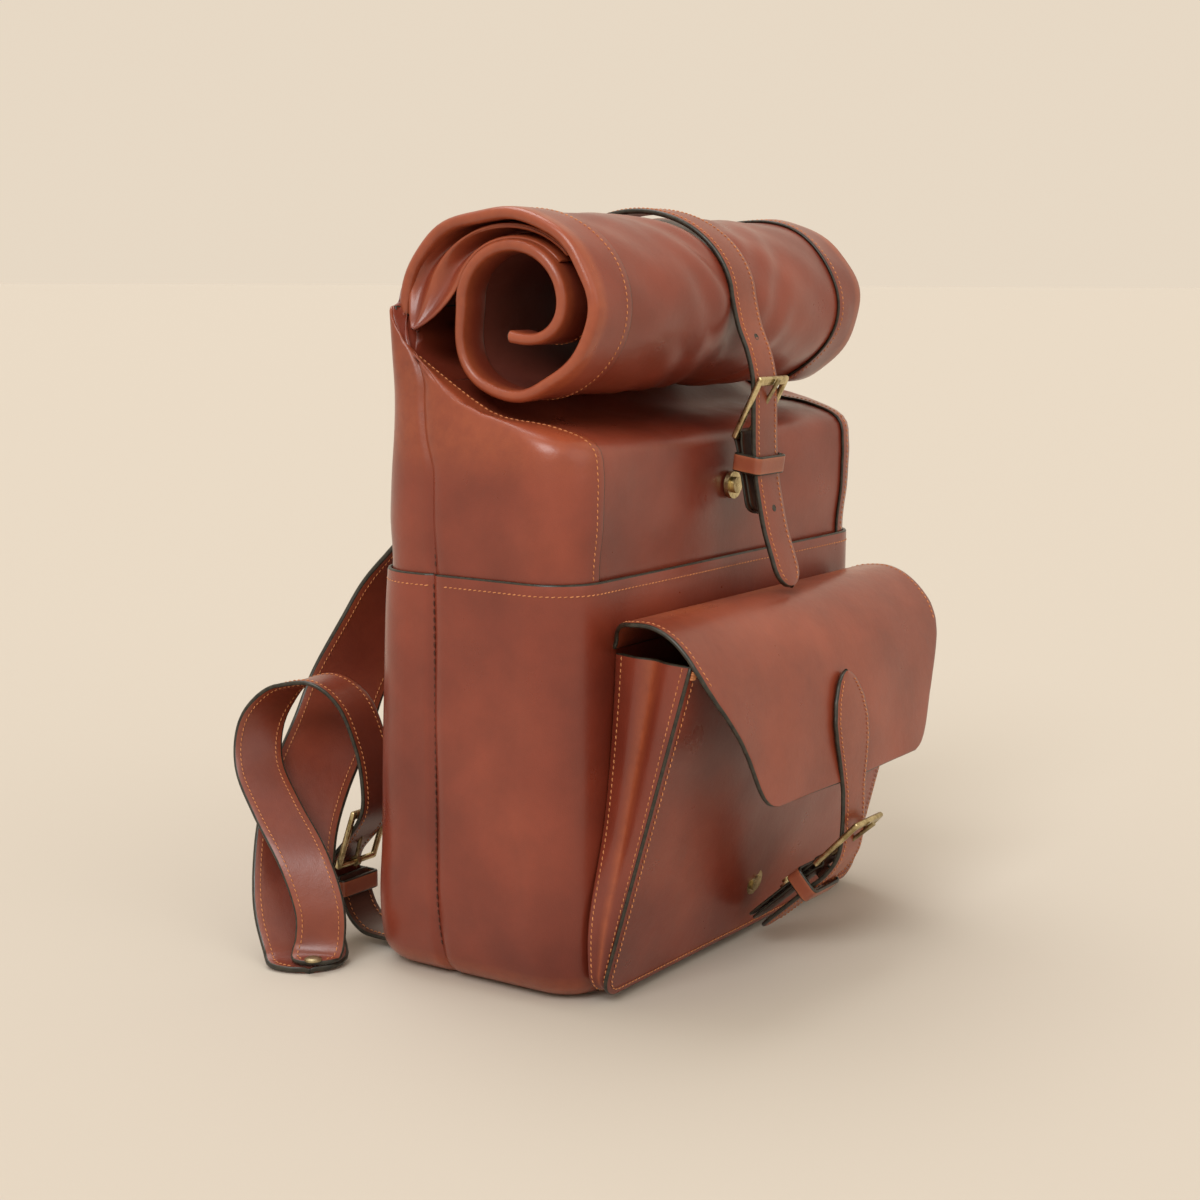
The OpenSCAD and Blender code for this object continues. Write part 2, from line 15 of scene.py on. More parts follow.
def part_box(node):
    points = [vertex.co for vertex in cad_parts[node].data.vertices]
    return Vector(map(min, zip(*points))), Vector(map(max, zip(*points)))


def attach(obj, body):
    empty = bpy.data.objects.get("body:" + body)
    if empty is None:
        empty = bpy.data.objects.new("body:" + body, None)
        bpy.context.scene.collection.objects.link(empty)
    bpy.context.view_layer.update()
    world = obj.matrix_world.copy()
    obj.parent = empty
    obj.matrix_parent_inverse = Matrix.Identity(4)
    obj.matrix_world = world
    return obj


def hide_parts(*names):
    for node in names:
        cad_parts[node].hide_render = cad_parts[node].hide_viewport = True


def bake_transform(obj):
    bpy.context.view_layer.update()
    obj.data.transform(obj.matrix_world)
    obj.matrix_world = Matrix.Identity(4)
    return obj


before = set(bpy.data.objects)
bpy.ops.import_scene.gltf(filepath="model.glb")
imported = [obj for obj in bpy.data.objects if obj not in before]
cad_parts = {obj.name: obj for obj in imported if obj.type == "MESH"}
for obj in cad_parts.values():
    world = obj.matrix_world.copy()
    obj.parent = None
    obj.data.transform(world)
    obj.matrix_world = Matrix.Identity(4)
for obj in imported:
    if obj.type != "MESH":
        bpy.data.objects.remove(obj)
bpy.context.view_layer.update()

# %% [markdown]
# ## Camera, floor and light
# A bag is best seen from a front corner, a little above its middle. A long lens keeps the upright
# edges nearly parallel. The view transform is plain, so that leather keeps its full colour.

# %% Camera
MM = 0.001


def camera(place_mm, azimuth, elevation, roll, lens):
    """A camera that looks back at the bag from an azimuth, which is 0 at its front, and an elevation."""
    a, e, r = (math.radians(v) for v in (azimuth, elevation, roll))
    back = Vector((math.sin(a) * math.cos(e), -math.cos(a) * math.cos(e), math.sin(e)))
    right = (-back).cross(Vector((0, 0, 1))).normalized()
    up = right.cross(-back)
    side = right * math.cos(r) + up * math.sin(r)
    top = up * math.cos(r) - right * math.sin(r)
    cam = bpy.data.objects.new("camera", bpy.data.cameras.new("camera"))
    cam.data.lens = lens
    cam.data.sensor_width = 36
    cam.data.clip_end = 1000
    aim = Matrix((side, top, back)).transposed().to_4x4()
    cam.matrix_world = Matrix.Translation(Vector(place_mm) * MM) @ aim
    bpy.context.scene.collection.objects.link(cam)
    bpy.context.scene.camera = cam
    return cam


cam = camera(place_mm=(-1035.0, -683.1, 390.9), azimuth=-55.99, elevation=8.81, roll=0.16, lens=61.53)
bpy.context.scene.view_settings.view_transform = "Standard"
print("camera at", [round(v, 2) for v in cam.matrix_world.translation])

# %% Floor and lights
SKY_TONE = (0.80, 0.69, 0.556)
FLOOR_TONE = (0.535, 0.492, 0.430)
FLOOR_SIZE = 400
FLOOR_DROP = 0.0005


def matte(name, colour):
    m = bpy.data.materials.new(name)
    m.use_nodes = True
    shader = m.node_tree.nodes["Principled BSDF"]
    shader.inputs["Base Color"].default_value = (*colour, 1)
    shader.inputs["Roughness"].default_value = 0.9
    return m


bpy.ops.mesh.primitive_plane_add(size=FLOOR_SIZE, location=(0, 0, -FLOOR_DROP))
floor = bpy.context.object
floor.name = "floor"
floor.data.materials.append(matte("floor_paper", FLOOR_TONE))

world = bpy.data.worlds.new("studio")
world.use_nodes = True
sky = world.node_tree.nodes["Background"]
sky.inputs["Color"].default_value = (*SKY_TONE, 1)
sky.inputs["Strength"].default_value = 1.0
bpy.context.scene.world = world


def soft_light(name, azimuth, elevation, power, spread):
    """A wide sheet of light from one side, so the floor keeps one tone all over."""
    data = bpy.data.lights.new(name, "SUN")
    data.angle = math.radians(spread)
    data.energy = power
    lamp = bpy.data.objects.new(name, data)
    a, e = math.radians(azimuth), math.radians(elevation)
    aim = -Vector((math.sin(a) * math.cos(e), -math.cos(a) * math.cos(e), math.sin(e)))
    lamp.rotation_euler = aim.to_track_quat("-Z", "Y").to_euler()
    bpy.context.scene.collection.objects.link(lamp)
    return lamp


soft_light("key", azimuth=-78, elevation=42, power=1.5, spread=28)
soft_light("top", azimuth=160, elevation=68, power=1.1, spread=35)
soft_light("front", azimuth=-5, elevation=30, power=0.35, spread=50)

# %% [markdown]
# ## Finishes
# Vegetable-tanned leather is brown all through. It is waxed and rubbed, so its colour drifts over a
# hand's width, its sheen changes from place to place, and it pales to orange where it is bent
# hard, which makers call pull-up. Noise at three scales gives the drift, the pores and the fine
# creases, and a vertex attribute named pull says where the leather is bent.

# %% Node helpers


def new_material(name):
    m = bpy.data.materials.new(name)
    m.use_nodes = True
    tree = m.node_tree
    shader = tree.nodes["Principled BSDF"]

    def node(kind, **settings):
        n = tree.nodes.new(kind)
        for key, value in settings.items():
            setattr(n, key, value)
        return n

    def link(a, b):
        tree.links.new(a, b)

    coords = node("ShaderNodeTexCoord").outputs["Object"]
    return m, shader, node, link, coords


def noise(node, link, coords, scale, detail=3, rough=0.55):
    n = node("ShaderNodeTexNoise")
    n.inputs["Scale"].default_value = scale
    n.inputs["Detail"].default_value = detail
    n.inputs["Roughness"].default_value = rough
    link(coords, n.inputs["Vector"])
    return n.outputs["Fac"]


def ramp(node, link, fac, stops):
    r = node("ShaderNodeValToRGB")
    link(fac, r.inputs["Fac"])
    els = r.color_ramp.elements
    while len(els) < len(stops):
        els.new(0.5)
    for el, (pos, col) in zip(els, stops):
        el.position = pos
        el.color = (*col, 1) if len(col) == 3 else col
    return r.outputs["Color"]


def mix(node, link, a, b, fac, kind="MIX"):
    m = node("ShaderNodeMix", data_type="RGBA", blend_type=kind)
    for socket, value in ((m.inputs[0], fac), (m.inputs[6], a), (m.inputs[7], b)):
        if hasattr(value, "is_linked"):
            link(value, socket)
        else:
            socket.default_value = value if isinstance(value, float) else (*value, 1)
    return m.outputs[2]


def bump(node, link, shader, layers):
    last = None
    for height, distance, strength in layers:
        b = node("ShaderNodeBump")
        b.inputs["Distance"].default_value = distance
        b.inputs["Strength"].default_value = strength
        link(height, b.inputs["Height"])
        if last is not None:
            link(last, b.inputs["Normal"])
        last = b.outputs["Normal"]
    link(last, shader.inputs["Normal"])


def grey(value):
    return (value,) * 3


# %% Leather
DRIFT, CLOUD, SHEEN, STREAK, CREASE, CELL, PORE = 9, 42, 30, 160, 220, 900, 1500   # pattern scales
GRAIN = 0.35


def leather(name, deep, mid, pale, fold, rough):
    """Colour drifts from deep through mid to pale, and turns to fold where the leather is bent."""
    m, shader, node, link, co = new_material(name)
    drift = noise(node, link, co, DRIFT, 2)
    cloud = noise(node, link, co, CLOUD, 4)
    colour = ramp(node, link, drift, [(0.32, deep), (0.5, mid), (0.7, pale)])
    patch = ramp(node, link, cloud, [(0.35, (0.82, 0.8, 0.8)), (0.65, (1.1, 1.1, 1.1))])
    colour = mix(node, link, colour, patch, 0.55, "MULTIPLY")
    pull = node("ShaderNodeAttribute", attribute_name="pull")
    streak = noise(node, link, co, STREAK, 3)
    part = node("ShaderNodeMath", operation="MULTIPLY")
    link(pull.outputs["Fac"], part.inputs[0])
    link(ramp(node, link, streak, [(0.3, grey(0.55)), (0.7, grey(1.0))]), part.inputs[1])
    colour = mix(node, link, colour, fold, part.outputs[0])
    link(colour, shader.inputs["Base Color"])
    gloss = noise(node, link, co, SHEEN, 5, 0.6)
    low, high = rough
    link(ramp(node, link, gloss, [(0.3, grey(low)), (0.75, grey(high))]), shader.inputs["Roughness"])
    cells = node("ShaderNodeTexVoronoi", feature="DISTANCE_TO_EDGE")
    cells.inputs["Scale"].default_value = CELL
    link(co, cells.inputs["Vector"])
    pores = noise(node, link, co, PORE, 2)
    creases = noise(node, link, co, CREASE, 5, 0.65)
    bump(node, link, shader, [(cells.outputs["Distance"], 0.00012, GRAIN), (pores, 0.0001, GRAIN),
                              (creases, 0.0004, GRAIN)])
    shader.inputs["Specular IOR Level"].default_value = 0.5
    shader.inputs["Coat Weight"].default_value = 0.12
    shader.inputs["Coat Roughness"].default_value = 0.22
    return m


body_leather = leather("cognac_body_leather", deep=(0.135, 0.021, 0.011), mid=(0.195, 0.034, 0.017),
                       pale=(0.262, 0.052, 0.026), fold=(0.44, 0.110, 0.038), rough=(0.26, 0.42))
strap_leather = leather("cognac_strap_leather", deep=(0.130, 0.022, 0.012), mid=(0.180, 0.033, 0.017),
                        pale=(0.230, 0.048, 0.025), fold=(0.36, 0.09, 0.035), rough=(0.28, 0.42))
# The shoulder leather is the strap leather made darker as painted shade, for straps that hang in shadow behind the
# bag.
shoulder_painted_shade_leather = leather("cognac_shoulder_leather", deep=(0.095, 0.015, 0.009), mid=(0.135, 0.023, 0.013),
                           pale=(0.185, 0.037, 0.019), fold=(0.32, 0.08, 0.03), rough=(0.3, 0.44))
inner_leather = leather("cognac_inner_leather", deep=(0.10, 0.022, 0.014), mid=(0.14, 0.03, 0.018),
                        pale=(0.18, 0.042, 0.024), fold=(0.30, 0.08, 0.035), rough=(0.5, 0.65))
keeper_leather = leather("cognac_keeper_leather", deep=(0.20, 0.045, 0.023), mid=(0.26, 0.064, 0.033),
                         pale=(0.31, 0.085, 0.045), fold=(0.42, 0.14, 0.06), rough=(0.32, 0.45))
# This copy of the leather is darkened as painted shade. It is used for the tabs behind the buckles, the base tabs
# and the base panel, which lie in shadow.
painted_shade_leather = leather("cognac_painted_shade_leather", deep=(0.030, 0.013, 0.009), mid=(0.050, 0.020, 0.013),
                       pale=(0.080, 0.030, 0.018), fold=(0.16, 0.055, 0.028), rough=(0.34, 0.5))

# %% [markdown]
# Cut edges are sanded and painted a green-black that stays slightly soft and glossy. Thread is
# thick waxed linen, with a twist that catches the light.

# %% Edge paint and threads


def edge_paint():
    m, shader, node, link, co = new_material("edge_paint")
    black, grey_green = (0.010, 0.010, 0.007), (0.040, 0.034, 0.022)
    worn = ramp(node, link, noise(node, link, co, 300, 4), [(0.35, black), (0.75, grey_green)])
    gloss = ramp(node, link, noise(node, link, co, 90), [(0.3, grey(0.28)), (0.7, grey(0.45))])
    link(worn, shader.inputs["Base Color"])
    link(gloss, shader.inputs["Roughness"])
    bump(node, link, shader, [(noise(node, link, co, 700), 0.0001, 0.4)])
    return m


def thread(name, dark, light):
    m, shader, node, link, co = new_material(name)
    fibre = ramp(node, link, noise(node, link, co, 500, 3), [(0.35, dark), (0.7, light)])
    link(fibre, shader.inputs["Base Color"])
    twist = node("ShaderNodeTexWave", bands_direction="DIAGONAL")
    twist.inputs["Scale"].default_value = 900
    link(co, twist.inputs["Vector"])
    bump(node, link, shader, [(twist.outputs["Fac"], 0.0001, 0.6)])
    shader.inputs["Roughness"].default_value = 0.6
    return m


paint = edge_paint()
orange_thread = thread("orange_thread", (0.44, 0.15, 0.05), (0.70, 0.29, 0.11))
brown_thread = thread("brown_thread", (0.055, 0.012, 0.006), (0.11, 0.028, 0.012))

# %% [markdown]
# The buckles are brass, darkened and then rubbed back, so the metal is pale in some places and
# brown in others. Inside, the bag has a cotton lining and a stiff board.

# %% Brass, cloth and board


def brass(name, pale, dark, rough):
    m, shader, node, link, co = new_material(name)
    tarnish = noise(node, link, co, 170, 5, 0.6)
    link(ramp(node, link, tarnish, [(0.38, dark), (0.6, pale)]), shader.inputs["Base Color"])
    gloss = ramp(node, link, noise(node, link, co, 420), [(0.3, grey(rough)), (0.75, grey(rough + 0.2))])
    link(gloss, shader.inputs["Roughness"])
    bump(node, link, shader, [(noise(node, link, co, 900), 0.0001, 0.25)])
    shader.inputs["Metallic"].default_value = 1.0
    return m


def weave(name, dark, light, scale):
    m, shader, node, link, co = new_material(name)
    waves = []
    for direction in ("X", "Z"):
        w = node("ShaderNodeTexWave", bands_direction=direction)
        w.inputs["Scale"].default_value = scale
        link(co, w.inputs["Vector"])
        waves.append(w.outputs["Fac"])
    both = mix(node, link, waves[0], waves[1], 0.5)
    link(ramp(node, link, both, [(0.2, dark), (0.8, light)]), shader.inputs["Base Color"])
    bump(node, link, shader, [(both, 0.0003, 0.5)])
    shader.inputs["Roughness"].default_value = 0.85
    return m


antique_brass = brass("rubbed_brass", (0.66, 0.55, 0.31), (0.36, 0.28, 0.13), 0.24)
dark_brass = brass("dark_brass", (0.42, 0.35, 0.20), (0.16, 0.12, 0.06), 0.34)
lining_cloth = weave("cotton_lining", (0.20, 0.13, 0.07), (0.38, 0.27, 0.16), 260)
board = weave("pressed_board", (0.07, 0.05, 0.035), (0.12, 0.09, 0.06), 90)
print("materials", [m.name for m in bpy.data.materials])

# %% [markdown]
# ## Tools for soft sheets
# Leather is a sheet of one thickness, so nearly every piece is a grid of points for its outer
# face, a copy pushed inwards, and a rounded rim between them. The rim has its own finish, the edge
# paint. Points are in millimetres until the mesh is made.

# %% Curves


def smooth(t):
    t = np.clip(t, 0, 1)
    return t * t * (3 - 2 * t)


def unit(v):
    return v / np.maximum(np.linalg.norm(v, axis=-1, keepdims=True), 1e-9)


def curve(rows, n):
    """Catmull-Rom curve through rows of numbers, with n steps in each span."""
    p = np.array(rows, float)
    q = np.vstack([p[:1], p, p[-1:]])
    out = []
    for i in range(len(p) - 1):
        a, b, c, d = q[i:i + 4]
        for t in np.arange(n) / n:
            bent = (2 * a - 5 * b + 4 * c - d) * t ** 2 + (3 * b - a - 3 * c + d) * t ** 3
            out.append(0.5 * (2 * b + (c - a) * t + bent))
    return np.array(out + [p[-1]])


def arc_length(points):
    return np.concatenate([[0], np.cumsum(np.linalg.norm(np.diff(points, axis=0), axis=1))])


def at_lengths(rows, s, t):
    """Values of some rows, which lie at the lengths s, at other lengths t."""
    return np.stack([np.interp(t, s, rows[:, k]) for k in range(rows.shape[1])], axis=1)


def even(rows, step, dims=3):
    """Rows of numbers, respaced evenly along the line that their first columns draw."""
    s = arc_length(rows[:, :dims])
    n = max(2, int(round(s[-1] / step)) + 1)
    return at_lengths(rows, s, np.linspace(0, s[-1], n))


# %% From grid to sheet


def surface_normals(g):
    return unit(np.cross(np.gradient(g, axis=1), np.gradient(g, axis=0)))


def add_mesh(name, verts, faces, mats, face_mats=None, pull=None):
    mesh = bpy.data.meshes.new(name)
    mesh.from_pydata((np.asarray(verts) * MM).tolist(), [], faces)
    for m in mats:
        mesh.materials.append(m)
    if face_mats is not None:
        mesh.polygons.foreach_set("material_index", face_mats)
    if pull is not None:
        values = np.asarray(pull, np.float32)
        mesh.attributes.new("pull", "FLOAT", "POINT").data.foreach_set("value", values)
    bm = bmesh.new()
    bm.from_mesh(mesh)
    bmesh.ops.recalc_face_normals(bm, faces=bm.faces)
    bm.to_mesh(mesh)
    bm.free()
    mesh.polygons.foreach_set("use_smooth", [True] * len(mesh.polygons))
    obj = bpy.data.objects.new(name, mesh)
    bpy.context.scene.collection.objects.link(obj)
    return obj


RIM = [(0.35, 0.75), (0.5, 0.0), (0.35, -0.75)]   # rim rows: bulge and height, in thicknesses


def skin(name, outer, thick, mats, normals=None, pull=None, plain_sides=(), bulge=1.0):
    """Solid sheet below a grid of points. Plain sides get no edge paint: side 0 is the first row, 1 the last
    column, 2 the last row and 3 the first column."""
    rows, cols = outer.shape[:2]
    n = surface_normals(outer) if normals is None else normals
    inner = outer - n * thick
    count = rows * cols
    verts = [outer.reshape(-1, 3), inner.reshape(-1, 3)]
    idx = np.arange(count).reshape(rows, cols)
    faces, mat = [], []
    a, b, c, d = idx[:-1, :-1], idx[1:, :-1], idx[1:, 1:], idx[:-1, 1:]
    quads = np.stack([a, b, c, d], -1).reshape(-1, 4)
    faces += quads.tolist() + (quads[:, ::-1] + count).tolist()
    mat += [0] * (2 * len(quads))
    ring = [(0, j) for j in range(cols)] + [(i, cols - 1) for i in range(1, rows)]
    ring += [(rows - 1, j) for j in range(cols - 2, -1, -1)] + [(i, 0) for i in range(rows - 2, 0, -1)]
    side = [0] * (cols - 1) + [1] * (rows - 1) + [2] * (cols - 1) + [3] * (rows - 1)
    ri = np.array(ring)
    inside = np.clip(ri, 1, [rows - 2, cols - 2]) if rows > 2 and cols > 2 else ri
    rim_o, rim_i = outer[ri[:, 0], ri[:, 1]], inner[ri[:, 0], ri[:, 1]]
    away = unit(rim_o - outer[inside[:, 0], inside[:, 1]])
    rim_n, mid = n[ri[:, 0], ri[:, 1]], (rim_o + rim_i) / 2
    verts += [mid + away * thick * out * bulge + rim_n * thick * up * 0.5 for out, up in RIM]
    k = len(ring)
    base = [ri[:, 0] * cols + ri[:, 1]]
    base += [2 * count + q * k + np.arange(k) for q in range(len(RIM))]
    base += [ri[:, 0] * cols + ri[:, 1] + count]
    for q in range(len(base) - 1):
        for e in range(k):
            f = (e + 1) % k
            faces.append([int(base[q][e]), int(base[q + 1][e]), int(base[q + 1][f]), int(base[q][f])])
            mat.append(0 if side[e] in plain_sides or len(mats) < 2 else 1)
    if pull is not None:
        pull = np.concatenate([pull.ravel(), pull.ravel()] + [pull[ri[:, 0], ri[:, 1]]] * len(RIM))
    return add_mesh(name, np.vstack(verts), faces, mats, mat, pull)


# %% [markdown]
# Each stitch is a short capsule that dips into the leather at both ends and leans a little, as
# saddle stitching does. It has a few dozen faces, because the bag has thousands of them. One row of
# stitches is one piece.

# %% Stitches
CAPSULE_U = [-0.5, -0.36, 0.0, 0.36, 0.5]
CAPSULE_R = [0.0, 0.8, 1.0, 0.8, 0.0]


def stitches(name, path, normal, mat=orange_thread, pitch=3.3, long=2.5, r=0.36, lean=10):
    path, normal = np.asarray(path, float), np.asarray(normal, float)
    s = arc_length(path)
    n = max(1, int(s[-1] / pitch))
    gap = s[-1] / n
    verts, faces = [], []
    at = (np.arange(n) + 0.5) * gap
    centre, up = at_lengths(path, s, at), unit(at_lengths(normal, s, at))
    along = unit(at_lengths(path, s, at + 0.6) - at_lengths(path, s, at - 0.6))
    side = unit(np.cross(up, along))
    up = np.cross(along, side)
    turn = math.radians(lean)
    along, side = (along * math.cos(turn) + side * math.sin(turn),
                   side * math.cos(turn) - along * math.sin(turn))
    ang = np.arange(6) * math.pi / 3
    for c, a, b, u in zip(centre, along, side, up):
        first = len(verts)
        for f, q in zip(CAPSULE_U, CAPSULE_R):
            lift = r * (0.35 - 4.2 * f * f)
            core = c + a * f * long + u * lift
            if q == 0:
                verts.append(core)
            else:
                verts += [core + (b * math.cos(w) + u * math.sin(w)) * r * q for w in ang]
        for j in range(6):
            k = (j + 1) % 6
            faces.append([first, first + 1 + k, first + 1 + j])
            for ring in (1, 7):
                low, high = first + ring, first + ring + 6
                faces.append([low + j, low + k, high + k, high + j])
            faces.append([first + 19, first + 13 + j, first + 13 + k])
    return add_mesh(name, verts, faces, [mat])


# %% Placing a piece


def place(obj, body, stands_for=(), bend=None):
    """Rides a piece on one body, or, when it is given a bend, bakes its transform and leaves it in place; then hides
    its CAD nodes.
    """
    if bend:
        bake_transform(obj)
    else:
        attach(obj, body)
    if stands_for:
        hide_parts(*stands_for)


print("sheet tools ready")

# %% [markdown]
# ## Lower body
# Two panels wrap the lower half and meet in an upright seam in the middle of each side. They turn
# in at that seam, so it lies in a groove. The corners and the bottom edge are round where the
# leather was pressed over the board, and the top edge is cut raw, painted and sewn down over the
# upper body. The sections are the CAD's own: half width, front Y and Z, back Y and Z, corner
# radius, and the seam's Y.

# %% Sections of the body
BODY_W, FRONT_Y, WAIST_Z = 334, -79, 232
CORNER_R, EDGE_R, LEATHER, LAP = 30, 16, 2.2, 2.5
SEAM_LOW, SEAM_NECK = 14, 33


def back_y(z):
    return 73 - 0.055 * z


def wall(z, inset):
    taper = 11 * max(0, 1 - z / 60) ** 2
    return [BODY_W / 2 - taper - inset, FRONT_Y + inset, z, back_y(z) - inset, z, CORNER_R - inset, SEAM_LOW]


# each shoulder row: step in at the side, front Y and Z, back Z, corner radius, lean of the front wall
SHOULDER = [[0, -79, 290, 290, 30, 0], [1, -75, 306, 308, 28, 30], [3, -50, 316, 330, 22, 70],
            [4, -14, 322.5, 353, 15, 66], [5, 30, 352, 377, 8.5, 50]]


def shoulder(s, d):
    t = (s[2] - 290) / 62
    a = math.radians(s[5])
    return [BODY_W / 2 - s[0] - d, s[1] + d * math.cos(a), s[2] - d * math.sin(a), back_y(s[3]) - d, s[3],
            s[4] - d, SEAM_LOW + (SEAM_NECK - SEAM_LOW) * t]


def half_section(r, sy, flat=61, side=16, corner=9, turn_in=2.6):
    """Points from seam to seam: round the front (sy -1) or the back (sy 1), left to right."""
    hw, fy, fz, by, bz, cr, seam = r
    y_edge = fy if sy < 0 else by
    cy = y_edge - sy * cr
    pts = []
    for k in range(side):
        t = k / side
        y = seam + sy * 0.3 + (cy - seam) * t
        tuck = turn_in * (1 - smooth(abs(y - seam) / 5.0))
        pts.append((-hw + tuck, y))
    for k in range(corner):
        a = math.pi / 2 * k / corner
        pts.append((-hw + cr - cr * math.cos(a), cy + sy * cr * math.sin(a)))
    for x in np.linspace(-hw + cr, hw - cr, flat):
        pts.append((x, y_edge))
    left = pts[:side + corner]
    pts += [(-x, y) for x, y in left[::-1]]
    xy = np.array(pts)
    t = np.clip((xy[:, 1] - fy) / (by - fy), 0, 1)
    return np.column_stack([xy, fz + (bz - fz) * t])


def ripple(p, size=1.0):
    """Slow swells of a soft wall, the same wherever it is asked, so that layers stay parted."""
    x, y, z = (p[..., k] for k in range(3))
    w = np.sin(x / 47 + 1.3 + z / 90) * np.sin(z / 38 + 0.6)
    w += 0.6 * np.sin(x / 23 - z / 31 + 2.1) * np.sin(y / 29 + 0.4)
    w += 0.5 * np.sin(y / 19 + z / 44) + 0.25 * np.sin(x / 11 + y / 13) * np.sin(z / 14)
    return size * w


# %% Lower panels
turn = np.radians(np.arange(0, 90, 15))
low_rows = [wall(z, inset) for z, inset in zip(EDGE_R * (1 - np.cos(turn)), EDGE_R * (1 - np.sin(turn)))]
low_rows += [wall(z, 0) for z in np.linspace(EDGE_R, WAIST_Z, (WAIST_Z - EDGE_R) // 4 + 1)]
for word, sy in (("front", -1), ("back", 1)):
    grid = np.array([half_section(r, sy) for r in low_rows])
    if sy > 0:
        grid = grid[:, ::-1]
    fade = smooth((grid[..., 2] - 20) / 60) * smooth((WAIST_Z + 8 - grid[..., 2]) / 40 + 0.25)
    n = surface_normals(grid)
    grid = grid + n * (ripple(grid, 0.9) * fade)[..., None]
    pull = np.clip(0.6 * smooth((18 - grid[..., 2]) / 14), 0, 1)
    place(skin(f"lower_{word}_leather", grid, LEATHER, [body_leather, paint], pull=pull, plain_sides=(0, 1, 3)),
          "body", stands_for=[f"lower_{word}_panel"])
    n = surface_normals(grid)
    place(stitches(f"waist_{word}_stitches", grid[-2][2:-2] + [0, 0, -1.5], n[-2][2:-2]), "body")
print("lower panels", grid.shape)

# %% [markdown]
# The side seam is closed by brown thread from the base to the waist, down in its groove. Each
# stitch is drawn at the place where the two panels meet.

# %% Side seams
for word, sx in (("left", -1), ("right", 1)):
    z = np.arange(20, WAIST_Z - 3, 2.0)
    hw = np.array([wall(v, 0)[0] for v in z])
    path = np.column_stack([sx * (hw - 2.4), np.full(len(z), SEAM_LOW), z])
    out = np.tile([sx, 0, 0], (len(z), 1))
    place(stitches(f"{word}_side_seam_stitches", path, out, brown_thread, pitch=4.6, long=3.4, r=0.5), "body")
print("side seams sewn")

# %% [markdown]
# ## Upper body
# Above the waist the bag is softer, and its front slopes back under the roll. It is sewn from
# four side panels that lie on two centre panels. Their inner edges are cut raw, painted and
# top-stitched, and a seam runs up each side to the point where the mouth folds in.

# %% Upper panels
UPPER_T = 1.8


def upper_rows(d):
    rows = [wall(z, d) for z in (222, 228, 236, 246, 262, 276)]
    return rows + [shoulder(s, d) for s in SHOULDER]


def upper_grid(d, sy):
    rows = curve(upper_rows(d), 4)
    grid = np.array([half_section(r, sy, turn_in=1.8) for r in rows])
    if sy > 0:
        grid = grid[:, ::-1]
    fade = smooth((grid[..., 2] - 234) / 30)
    return grid + surface_normals(grid) * ((ripple(grid, 1.2) + 1.2) * fade)[..., None]


def columns(grid, lo, hi):
    """The columns whose middle row lies between two X values."""
    x = grid[grid.shape[0] // 2, :, 0]
    keep = np.where((x >= lo - 0.01) & (x <= hi + 0.01))[0]
    return grid[:, keep[0]:keep[-1] + 1]


EDGE_X = 133
for word, sy in (("front", -1), ("back", 1)):
    deep = upper_grid(LAP + UPPER_T + 0.1, sy)
    place(skin(f"upper_{word}_leather", columns(deep, -144, 144), UPPER_T, [body_leather, paint]),
          "body", stands_for=[f"upper_{word}_panel"])
    near = upper_grid(LAP, sy)
    for side, lo, hi in (("left", -400, -EDGE_X), ("right", EDGE_X, 400)):
        part = columns(near, lo, hi)
        first = (side == "left") == (sy < 0)
        pull = 0.35 * smooth((part[..., 2] - 280) / 30)
        place(skin(f"upper_{side}_{word}_leather", part, UPPER_T, [body_leather, paint], pull=pull,
                   plain_sides=(0, 2, 3 if first else 1)), "body", stands_for=[f"upper_{side}_{word}_side"])
        n = surface_normals(part)
        col = -2 if first else 1
        line = part[:, col]
        place(stitches(f"upper_{side}_{word}_stitches", line[5:], n[5:, col]), "body")
for side, sx in (("left", -1), ("right", 1)):
    rows = [r for r in curve(upper_rows(LAP), 4) if r[2] > 234]
    rise = [r[2] + (r[4] - r[2]) * (r[6] - r[1]) / (r[3] - r[1]) for r in rows]
    path = np.array([[sx * (r[0] - 1.6), r[6], z] for r, z in zip(rows, rise)])
    out = np.tile([sx, 0, 0.1], (len(path), 1))
    place(stitches(f"{side}_upper_seam_stitches", path, out, brown_thread, pitch=4.2, long=3.2, r=0.5), "body")
print("upper body done")

# %% [markdown]
# ## Rolled top
# The mouth is pressed flat and rolled forward one and a half turns. In section it is a spiral of
# two layers of leather. At each end the layers are turned in, which leaves a thick round rim and
# a dark hollow with the inner turn showing in it.

# %% Spiral
ROLL_HALF = 151
ROLL_T = 2.2
roll_mid, roll_shift = np.array([-17.0, 378.0]), np.array([-10.0, 2.0])
roll_reach, roll_shrink = np.array([63.0, 50.0]), np.array([29.0, 19.0])


def roll_point(a, off):
    """[Y, Z] on the spiral at an angle in degrees, off millimetres outside its middle line."""
    a = np.asarray(a, float)
    k = smooth((a - 240) / 120)[..., None]
    fade = 9 * smooth((a - 540) / 100)[..., None]
    c = roll_mid + roll_shift * k
    r = roll_reach - roll_shrink * k + np.asarray(off, float)[..., None] - fade * [1.0, 1.4]
    return c + r * np.stack([np.cos(np.radians(a)), np.sin(np.radians(a))], -1)


def roll_swell(a, x):
    """How far the roll stands out: full in the middle, nipped by the strap, wrinkled at its ends."""
    a = np.radians(a)
    middle = np.cos(np.clip(np.abs(x) / ROLL_HALF, 0, 1) * math.pi / 2) ** 0.8
    full = 4.0 * middle * np.clip(-np.cos(a), 0, 1)
    nip = -3.6 * np.exp(-(x / 17) ** 2)
    wrinkle = 0.9 * np.sin(a * 5 + x / 17) * np.sin(x / 31 + 0.8)
    wrinkle = wrinkle + 0.5 * np.sin(a * 9 - x / 11 + 1) * np.sin(x / 19)
    near = np.exp(-((np.abs(x) - 34) / 26) ** 2)
    wrinkle = wrinkle + near * 0.9 * np.sin(a * 7 + np.abs(x) / 5)
    return full + nip + wrinkle


